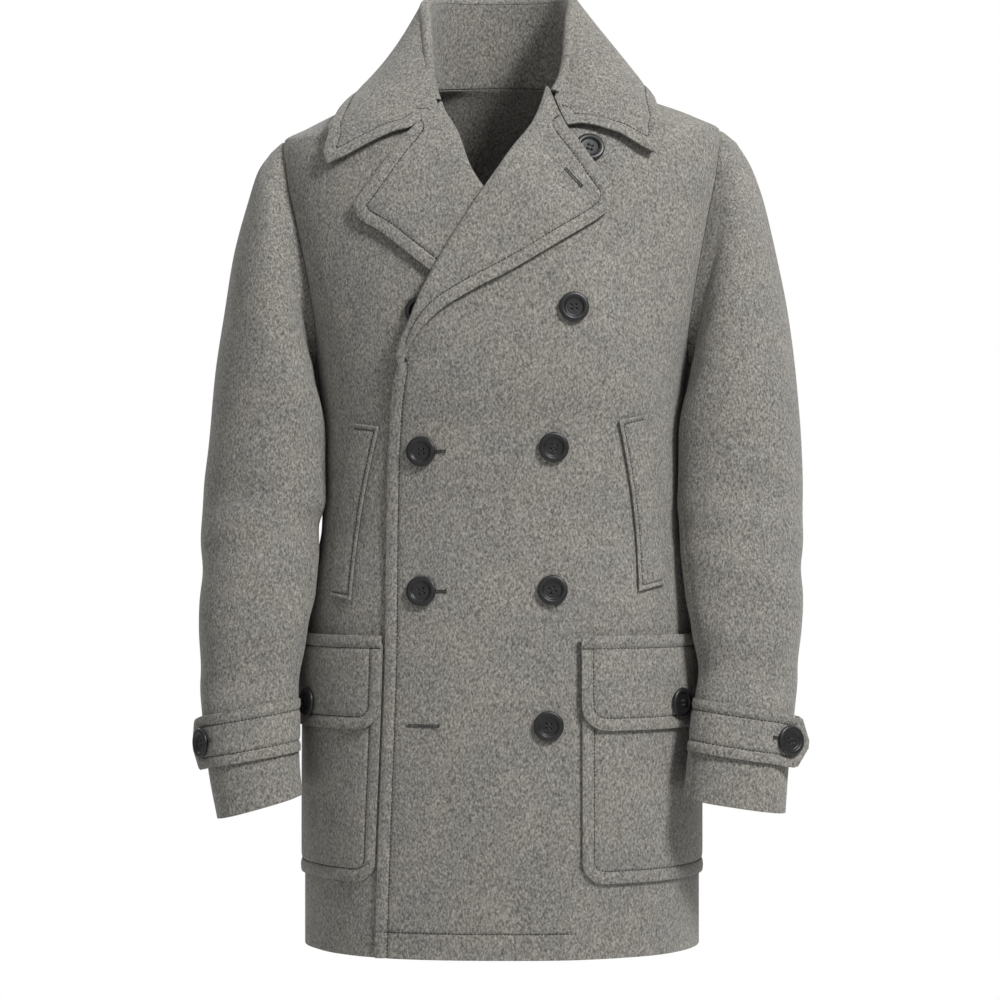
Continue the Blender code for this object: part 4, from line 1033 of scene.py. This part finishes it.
# ---------------------------------------------------------------- sleeves
def sleeve_pieces(name, side, table):
    """Top and under sleeve: rows are rings from the armhole to the cuff, columns go round."""
    last = len(table)
    rings = np.concatenate([[0, 0.05, 0.12, 0.22, 0.36, 0.5, 0.7, 0.85], np.linspace(1, last - 0.4, 118),
                            [last - 0.25, last - 0.12, last - 0.05, last]])
    first, final = TOP_SLEEVE_STEPS
    gap = 0.02
    for piece, start, end in (("top", first, final), ("under", final, first + 20)):
        inner = np.linspace(start, end, (end - start) * 4 + 1)[1:-1]
        steps = np.concatenate([[start + gap, start + 0.08], inner, [end - 0.08, end - gap]])
        ring, step = np.meshgrid(rings, steps, indexing="ij")
        base = sleeve_ring_points(side, table, ring, step)
        base[..., 0] -= side * ARMHOLE_TUCK * np.clip(1 - ring / 0.12, 0, 1)
        outward = normals_of(base) * side
        seam = np.minimum(np.linalg.norm(base - base[:, :1], axis=-1), np.linalg.norm(base - base[:, -1:], axis=-1))
        hole = np.linalg.norm(base - base[:1], axis=-1)
        relief = seam_sink(seam, 0.0045) - ARMHOLE_SINK * np.exp(-(hole / 0.003) ** 2)
        grid = base + outward * relief[..., None]
        node_name = f"sleeve_{piece}_{name}"
        cloth_piece(node_name, grid, flip=side < 0, soft=SEAM_ROUND)


# ---------------------------------------------------------------- pockets and welts
def body_arc(z):
    """Turns from the front and their distance round the body at a height, as a table."""
    turn = np.linspace(0, math.radians(125), 200)
    points = body_skin(turn, z + 0 * turn)
    length = np.concatenate([[0], np.cumsum(np.linalg.norm(np.diff(points, axis=0), axis=1))])
    return turn, length


def patch_surface(side, top, bottom, margin, outer_turn, corner, out, across_share, down_share):
    """A patch on the side of the body with round bottom corners."""
    z = top + (bottom - top) * down_share[:, None]
    inner = np.abs(turn_at(pocket_inner(side, z, margin), z))
    narrow = rounded_side(z, bottom, corner)
    start, end = inner + narrow, outer_turn - narrow
    turn_table, arc = body_arc((top + bottom) / 2)
    start_arc, end_arc = np.interp(start, turn_table, arc), np.interp(end, turn_table, arc)
    turn = side * np.interp(start_arc + (end_arc - start_arc) * across_share[None, :], arc, turn_table)
    z = z + 0 * turn
    panel = left_front_out if side > 0 else right_front_out
    under = np.where(np.abs(turn) < math.pi / 2, panel(x_at(turn, z), z), 0.0)
    return turn, z, under + out


def patch_piece(node, side, top, bottom, margin, outer_turn, corner, out, sewn_top):
    """A pocket or flap, with a row of stitches inside its sides and bottom."""
    depth = top - bottom
    down = spaced(depth, fine=0.0013, coarse=0.0055, start_band=0.016, end_band=0.022)
    over = spaced(0.19, fine=0.0013, coarse=0.0060)
    turn, z, lift = patch_surface(side, top, bottom, margin, outer_turn, corner, out, over, down)
    plain = body(turn, z, lift)
    border = np.concatenate([plain[:, 0], plain[-1, 1:-1], plain[::-1, -1]])
    distance, along = edge_distance(plain, border)
    relief = sewn_relief(distance)
    if sewn_top:
        from_top = top - z
        relief = relief * fade(0.008, 0.014, from_top) + sewn_relief(from_top)
    grid = body(turn, z, lift + relief)
    cloth_piece(node, grid, flip=side > 0)
    outward = unit(body(turn, z, lift + 0.01) - plain)
    keep = np.where(top - z > STITCH_INSET, distance, 1.0) if sewn_top else distance
    add_thread(stitches(*row_path(grid, outward, keep, along, STITCH_INSET, STITCH_RADIUS * 0.4)))
    if sewn_top:
        row_out = np.abs((top - z) - STITCH_INSET).argmin(axis=0)[0]
        add_thread(stitches(grid[row_out] + outward[row_out] * STITCH_RADIUS * 0.4, outward[row_out]))


def welt_piece(node, corners, front_out):
    """A strip between four corners, its long sides bowed, with stitches inside its edges."""
    (a, b, c, d) = (np.array(corner) for corner in corners)
    down, over = np.meshgrid(spaced(0.165, fine=0.0013, coarse=0.005), np.linspace(0, 1, 20), indexing="ij")
    down, over = down[..., None], over[..., None]
    flat = (a * (1 - over) + b * over) * (1 - down) + (d * (1 - over) + c * over) * down
    flat[..., 0] += np.sign(a[0]) * WELT_BOW * np.sin(math.pi * down[..., 0])
    x, z = flat[..., 0], flat[..., 1]
    lift = front_out(x, z) + 2 * LAY + WELT_THICKNESS
    plain = on_front(x, z, lift)
    border = np.concatenate([plain[0, ::-1], plain[1:-1, 0], plain[-1]])
    distance, along = edge_distance(plain, border)
    inset = WELT_STITCH
    relief = sewn_relief(distance, inset)
    grid = on_front(x, z, lift + relief)
    side = -1 if a[0] < 0 else 1
    cloth_piece(node, grid, thickness=WELT_THICKNESS, flip=side > 0)
    outward = unit(on_front(x, z, lift + 0.01) - plain)
    add_thread(stitches(*row_path(grid, outward, distance, along, inset, STITCH_RADIUS * 0.4)))
    # On the left welt a near-black cord runs along the open side: painted shadow standing in for the dark pocket
    # mouth.
    if side > 0:
        mouth = np.linspace(0.02, 0.90, 160)[:, None]
        spot = b * (1 - mouth) + c * mouth
        spot[:, 0] += WELT_BOW * np.sin(math.pi * mouth[:, 0]) + MOUTH_SHADE_CORD
        path = on_front(spot[:, 0], spot[:, 1], front_out(spot[:, 0], spot[:, 1]) + MOUTH_SHADE_CORD * 0.6)
        keep_in(HOLE_SEWING_AND_MOUTH_SHADE, tube(path, MOUTH_SHADE_CORD * np.clip(2.2 * np.sin(math.pi * mouth[:, 0]), 0.2, 1.0), 8))


# ---------------------------------------------------------------- cuff straps
def strap_piece(name, side, table, strap):
    """A strap round the front of the cuff that leaves the sleeve as a pointed tab."""
    start_step, leave_step, heading, tab_length = strap
    steps = np.linspace(start_step, leave_step, 9)
    lift = LAY + STRAP_THICKNESS
    middle = sleeve_surface(side, table, STRAP_RING, steps, lift)
    down = unit(sleeve_surface(side, table, STRAP_RING + 0.35, steps, lift)
                - sleeve_surface(side, table, STRAP_RING - 0.35, steps, lift))
    forward = np.array([side * math.cos(heading), math.sin(heading), 0.0])
    forward -= down[-1] * (forward @ down[-1])
    tab = np.array([0.3, 0.62, 0.74, 1.0]) * tab_length
    narrow = np.array([0.0, 0.02, 0.10, 0.85])
    tail = middle[-1] + forward * tab[:, None]
    coarse = np.concatenate([middle, tail])
    half = np.concatenate([np.ones(len(middle)), 1 - narrow]) * STRAP_HALF_WIDTH
    ways = np.concatenate([down, np.repeat(down[-1:], len(tab), axis=0)])
    length = np.concatenate([[0], np.cumsum(np.linalg.norm(np.diff(coarse, axis=0), axis=1))])
    at = np.unique(np.concatenate([np.arange(0, length[-1], 0.0018), length]))
    line = np.stack([through(length, coarse[:, k], at) for k in range(3)], axis=1)
    half_at = np.interp(at, length, half)
    way = unit(np.stack([np.interp(at, length, ways[:, k]) for k in range(3)], axis=1))
    over = np.linspace(-1, 1, 39)
    plain = line[:, None, :] + way[:, None, :] * half_at[:, None, None] * over[None, :, None]
    outward = normals_of(plain) * side
    outward = outward * (1 if (outward[len(at) // 2, 19, 1] < 0) else -1)
    border = np.concatenate([plain[:, 0], plain[-1, 1:-1], plain[::-1, -1]])
    distance, along = edge_distance(plain, border)
    inset = STRAP_STITCH
    grid = plain + outward * sewn_relief(distance, inset)[..., None]
    node_name = f"cuff_strap_{name}"
    cloth_piece(node_name, grid,
                thickness=STRAP_THICKNESS, flip=side < 0)
    add_thread(stitches(*row_path(grid, outward, distance, along, inset, STITCH_RADIUS * 0.4)))
    button = middle[-1] + forward * (tab_length - STRAP_POINT - BUTTON_RADIUS * 0.75)
    normal = np.cross(down[-1], forward) * side
    button_piece(f"button_cuff_{name}", button + normal * SEAM, normal, turn=12)
    buttonhole(button + normal * STITCH_RADIUS, -forward, normal, BUTTON_RADIUS * 0.5, BUTTON_RADIUS + 0.0045)


# ---------------------------------------------------------------- buttons and buttonholes
BUTTON_OUTLINE = np.array([    # a turned button's section: share of the radius, share of the height
    (0.000, 0.50), (0.20, 0.50), (0.40, 0.50), (0.55, 0.52), (0.60, 0.58), (0.635, 0.74), (0.66, 0.90), (0.72, 0.985),
    (0.80, 1.00), (0.90, 0.965), (0.96, 0.86), (0.992, 0.70), (1.000, 0.52), (0.985, 0.36), (0.94, 0.20),
    (0.86, 0.06), (0.78, 0.00), (0.40, 0.00), (0.0, 0.00),
])
HOLE_CENTRE = 0.00205         # from a button's middle to each of its four holes, each way
HOLE_RADIUS = 0.00100


def button_piece(node, place, normal, turn=0.0):
    """A turned horn button. Rings follow the section, and four pits are pressed in for the holes."""
    outline = BUTTON_OUTLINE
    fine = np.interp(np.linspace(0, 3, 19), np.arange(4), outline[:4, 0])
    r = np.concatenate([fine[1:], outline[4:-1, 0]]) * BUTTON_RADIUS
    h = np.concatenate([np.interp(fine[1:], outline[:4, 0], outline[:4, 1]), outline[4:-1, 1]]) * BUTTON_HEIGHT
    count = 56
    around = np.arange(count) * 2 * np.pi / count
    x, y = r[:, None] * np.cos(around), r[:, None] * np.sin(around)
    height = h[:, None] + 0 * x
    top = np.arange(len(r)) < 18
    for sx in (-1, 1):
        for sy in (-1, 1):
            gap = np.hypot(x - sx * HOLE_CENTRE, y - sy * HOLE_CENTRE)
            height = height - top[:, None] * 0.0016 * fade(HOLE_RADIUS * 1.15, HOLE_RADIUS * 0.6, gap)
    verts = np.stack([x, y, height], axis=-1).reshape(-1, 3)
    verts = np.concatenate([[[0, 0, h[0]]], verts, [[0, 0, 0.0]]])
    k = np.arange(count)
    ring = np.arange(len(r) - 1)[:, None] * count + 1
    quads = np.stack([ring + k, ring + count + k, ring + count + (k + 1) % count, ring + (k + 1) % count], axis=-1)
    first = np.stack([0 * k, 1 + k, 1 + (k + 1) % count], axis=-1)
    low = 1 + (len(r) - 1) * count
    final = np.stack([0 * k + len(verts) - 1, low + (k + 1) % count, low + k], axis=-1)
    faces = quads.reshape(-1, 4).tolist() + first.tolist() + final.tolist()
    frame_of = button_frame(normal, turn)
    piece = mesh_piece(f"horn_{node}", verts @ frame_of + place, faces)
    piece.data.materials.append(FINISH["button"])
    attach(piece, "root")
    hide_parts(node)
    cross_threads(place, frame_of, h[0])
    return piece


def button_frame(normal, turn):
    """Rows: a button's own x, y and upward ways, turned about its axis."""
    normal = unit(np.asarray(normal, float))
    sideways = unit(np.cross(UP, normal))
    upward = np.cross(normal, sideways)
    c, s = math.cos(math.radians(turn)), math.sin(math.radians(turn))
    return np.stack([sideways * c + upward * s, upward * c - sideways * s, normal])


BUTTON_THREAD = {"points": [], "faces": [], "count": 0}


def tube(path, radius, sides=8):
    """A closed round tube along a path, pinched shut at its two ends."""
    run = unit(np.gradient(path, axis=0))
    ref = np.where(np.abs(run[:, 2:3]) > 0.9, np.array([[1.0, 0, 0]]), np.array([[0, 0, 1.0]]))
    side = unit(np.cross(run, ref))
    other = np.cross(run, side)
    turn = np.arange(sides) * 2 * np.pi / sides
    size = np.broadcast_to(radius, (len(path),)).copy()
    size[[0, -1]] *= 0.15
    ring = side[:, None] * np.cos(turn)[None, :, None] + other[:, None] * np.sin(turn)[None, :, None]
    verts = (path[:, None] + ring * size[:, None, None]).reshape(-1, 3)
    k = np.arange(sides)
    base = np.arange(len(path) - 1)[:, None] * sides
    quads = np.stack([base + k, base + (k + 1) % sides, base + sides + (k + 1) % sides, base + sides + k], axis=-1)
    last = (len(path) - 1) * sides
    faces = quads.reshape(-1, 4).tolist() + [k[::-1].tolist(), (last + k).tolist()]
    return verts, faces


def keep_in(store, made):
    points, faces = made
    store["points"].append(points)
    store["faces"] += [[v + store["count"] for v in face] for face in faces]
    store["count"] += len(points)


def cross_threads(place, frame_of, height):
    """The thread through the four holes: two strands of three turns each, side by side."""
    share = np.linspace(-1, 1, 9)
    for row in (-1, 1):
        for turn in (-1, 0, 1):
            x = share * HOLE_CENTRE
            y = row * HOLE_CENTRE + turn * 0.00042 + 0 * share
            z = height + 0.00035 - 0.0013 * share ** 8
            local = np.stack([x, y, z], axis=1)
            keep_in(BUTTON_THREAD, tube(local @ frame_of + place, 0.00024, 6))


def buttonhole(start, heading, normal, near, far):
    """A worked buttonhole from `near` to `far` along a heading: a purled loop and a bar tack."""
    heading = unit(heading)
    over = unit(np.cross(normal, heading))
    length = far - near
    half = 0.00095
    count = int(2 * length / 0.0004)
    share = np.linspace(0, 1, count)
    there = np.interp(share, [0, 0.49, 0.51, 1.0], [near, far, far, near])
    side = np.interp(share, [0, 0.47, 0.50, 0.53, 1.0], [half, half, 0.0, -half, -half])
    path = start + heading * there[:, None] + over * side[:, None]
    bumps = 0.00042 * (1 + 0.22 * np.sin(share * count * 1.9))
    keep_in(HOLE_SEWING_AND_MOUTH_SHADE, tube(path + unit(normal) * 0.0002, bumps, 6))
    bar = np.linspace(-1, 1, 13)
    path = start + heading * far + over * (bar * 0.0021)[:, None] + unit(normal) * 0.0004
    keep_in(HOLE_SEWING_AND_MOUTH_SHADE, tube(path, 0.0005 * (1 + 0.15 * np.sin(bar * 30)), 6))


# Buttonhole sewing, and the near-black cord that is painted shadow in the left pocket's mouth.
HOLE_SEWING_AND_MOUTH_SHADE = {"points": [], "faces": [], "count": 0}


def place_on_front(x, z, out):
    place = on_front(np.array(x), np.array(z), np.array(out))
    normal = place - on_front(np.array(x), np.array(z), np.array(out - 0.01))
    return place, unit(normal)


def front_buttons():
    for index, (name, x, z) in enumerate(LEFT_FRONT_BUTTONS):
        place, normal = place_on_front(x, z, float(left_front_out(x, z)) + SEAM * 2)
        button_piece(name, place, normal, turn=(7, -12, 20, -5, 4, 15)[index])
    place, normal = place_on_front(*HIDDEN_BUTTON[1:], SEAM * 2)
    button_piece(HIDDEN_BUTTON[0], place, normal, turn=30)
    place, normal = place_on_front(*COLLAR_BUTTON[1:], float(left_front_out(*COLLAR_BUTTON[1:])) + SEAM * 2)
    button_piece(COLLAR_BUTTON[0], place, normal, turn=-20)
    for side in ("left", "right"):
        name, x, z = FLAP_BUTTONS[side]
        panel = left_front_out if side == "left" else right_front_out
        place, normal = place_on_front(x, z, float(panel(x, z)) + FLAP_LAYERS + SEAM * 2)
        button_piece(name, place, normal, turn=9 if side == "left" else -14)
    for x, z, near, far in BUTTONHOLES:
        start, normal = place_on_front(x, z, float(left_front_out(x, z)) + 0.0002)
        ahead, _ = place_on_front(x + 0.01, z, float(left_front_out(x + 0.01, z)) + 0.0002)
        buttonhole(start, ahead - start, normal, near, far)


def lapel_buttonhole(lying, outward):
    """The worked hole across the left lapel's upper corner, between two points of its surface."""
    ends = []
    for x, z in LAPEL_BUTTONHOLE:
        spot = np.unravel_index(np.argmin(np.hypot(lying[..., 0] - x, lying[..., 2] - z)), lying.shape[:2])
        ends.append(lying[spot] + outward[spot] * (CLOTH / 2 + 0.0004))
    start, stop = ends
    buttonhole(start, stop - start, outward[spot], 0.0, float(np.linalg.norm(stop - start)))


def store_piece(name, store, finish, rider=None):
    piece = mesh_piece(name, np.concatenate(store["points"]), store["faces"])
    piece.data.materials.append(FINISH[finish])
    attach(piece, "root")
    return piece


# ---------------------------------------------------------------- the coat
WELT_STITCH = 0.0045
MOUTH_SHADE_CORD = 0.0007           # radius of a near-black cord along the left welt's open side: painted shadow of the pocket's mouth
STRAP_STITCH = 0.0100
BUTTONHOLES = (               # x, z of the middle of each worked hole or button, then its ends
    (-0.0732, -0.3488, 0.010, 0.0225),
    (-0.0731, -0.4777, 0.010, 0.0225),
    (-0.0858, -0.6006, 0.0, 0.030),
)
LAPEL_BUTTONHOLE = ((0.0573, -0.0880), (0.0735, -0.1050))

front_piece("front_left", 1, left_edge, left_front_out, BREAK_Z)
front_piece("front_right", -1, right_edge, right_front_out, BREAK_Z)
back_piece()
lapel_piece("left", left_edge, LAPEL_LEFT_EDGE, left_front_out)
lapel_piece("right", right_edge, LAPEL_RIGHT_EDGE, right_front_out)
collar_pieces()
sleeve_pieces("left", 1, SLEEVE_LEFT)
sleeve_pieces("right", -1, SLEEVE_RIGHT)
for name, side in (("left", 1), ("right", -1)):
    patch_piece(f"pocket_{name}", side, POCKET_TOP_Z, POCKET_BOTTOM_Z, 0.0, POCKET_OUTER_TURN, POCKET_CORNER,
                PATCH_LAYERS, False)
    patch_piece(f"flap_{name}", side, FLAP_TOP_Z, FLAP_BOTTOM_Z, FLAP_MARGIN,
                POCKET_OUTER_TURN + math.radians(1), FLAP_CORNER, FLAP_LAYERS, True)
welt_piece("welt_left", WELT_LEFT, left_front_out)
welt_piece("welt_right", WELT_RIGHT, right_front_out)
strap_piece("left", 1, SLEEVE_LEFT, STRAP_LEFT)
strap_piece("right", -1, SLEEVE_RIGHT, STRAP_RIGHT)
front_buttons()
# The rows of stitches and the buttonholes take the near-black thread, a painted shade for their grooves.
store_piece("sewing_rows", THREAD, "thread")
# The buttonholes, and the painted shadow cord in the left pocket's mouth.
store_piece("buttonhole_sewing_and_mouth_shade", HOLE_SEWING_AND_MOUTH_SHADE, "thread")
store_piece("button_sewing", BUTTON_THREAD, "dark_thread")


# ---------------------------------------------------------------- floor, light and camera
CAMERA_DISTANCE = 3.0
CAMERA_HEIGHT = -0.3936
CAMERA_X = -0.0019
VIEW_WIDTH = 0.96             # of the coat's middle plane, from side to side of the picture
FLOOR_Z = -1.45


def floor():
    mesh = bpy.data.meshes.new("floor")
    turn = np.arange(64) * 2 * np.pi / 64
    mesh.from_pydata(np.stack([2.6 * np.cos(turn), 2.6 * np.sin(turn), 0 * turn + FLOOR_Z], axis=1).tolist(), [],
                     [list(range(64))])
    obj = bpy.data.objects.new("floor", mesh)
    bpy.context.scene.collection.objects.link(obj)
    material = bpy.data.materials.new("pale_floor")
    material.use_nodes = True
    shader = material.node_tree.nodes["Principled BSDF"]
    shader.inputs["Base Color"].default_value = (0.82, 0.82, 0.81, 1.0)
    shader.inputs["Roughness"].default_value = 0.8
    mesh.materials.append(material)


def soft_light(name, place, target, size, energy, colour=(1.0, 1.0, 1.0)):
    light = bpy.data.lights.new(name, "AREA")
    light.energy = energy
    light.size = size
    light.color = colour
    obj = bpy.data.objects.new(name, light)
    obj.location = place
    away = np.array(place) - np.array(target)
    obj.rotation_euler = (math.atan2(math.hypot(away[0], away[1]), away[2]), 0.0, math.atan2(away[0], -away[1]))
    bpy.context.scene.collection.objects.link(obj)


def studio(ambient, backdrop):
    """White surroundings: as bright as `backdrop` where they are seen, dimmer where they light the coat."""
    world = bpy.data.worlds.new("studio")
    world.use_nodes = True
    tree = world.node_tree
    plain = tree.nodes["Background"]
    plain.inputs["Color"].default_value = (1.0, 1.0, 1.0, 1.0)
    plain.inputs["Strength"].default_value = ambient
    seen = node(tree, "ShaderNodeBackground", (0, -160))
    seen.inputs["Color"].default_value = (1.0, 1.0, 1.0, 1.0)
    seen.inputs["Strength"].default_value = backdrop
    rays = node(tree, "ShaderNodeLightPath", (0, 300))
    either = node(tree, "ShaderNodeMixShader", (220, 60))
    tree.links.new(rays.outputs["Is Camera Ray"], either.inputs[0])
    tree.links.new(plain.outputs[0], either.inputs[1])
    tree.links.new(seen.outputs[0], either.inputs[2])
    tree.links.new(either.outputs[0], tree.nodes["World Output"].inputs["Surface"])
    bpy.context.scene.world = world


floor()
soft_light("key", (1.8, -2.1, 1.9), (0.0, 0.0, -0.35), 0.7, 136.0)
soft_light("fill", (-1.4, -3.2, 0.2), (0.0, 0.0, -0.45), 2.4, 11.0)
soft_light("top", (-0.9, -0.4, 2.3), (-0.15, 0.0, -0.10), 0.9, 11.0)
soft_light("back_left", (-1.9, 2.2, 1.4), (0.0, 0.0, -0.30), 1.6, 26.0)
soft_light("back_right", (1.9, 2.2, 1.4), (0.0, 0.0, -0.30), 1.6, 26.0)
studio(0.27, 1.0)
bpy.context.scene.view_settings.view_transform = "Standard"

camera = bpy.data.cameras.new("camera")
camera.sensor_width = 36.0
camera.lens = 36.0 * CAMERA_DISTANCE / VIEW_WIDTH
camera_object = bpy.data.objects.new("camera", camera)
camera_object.location = (CAMERA_X, -CAMERA_DISTANCE, CAMERA_HEIGHT)
camera_object.rotation_euler = (math.pi / 2, 0.0, 0.0)
bpy.context.scene.collection.objects.link(camera_object)
bpy.context.scene.camera = camera_object
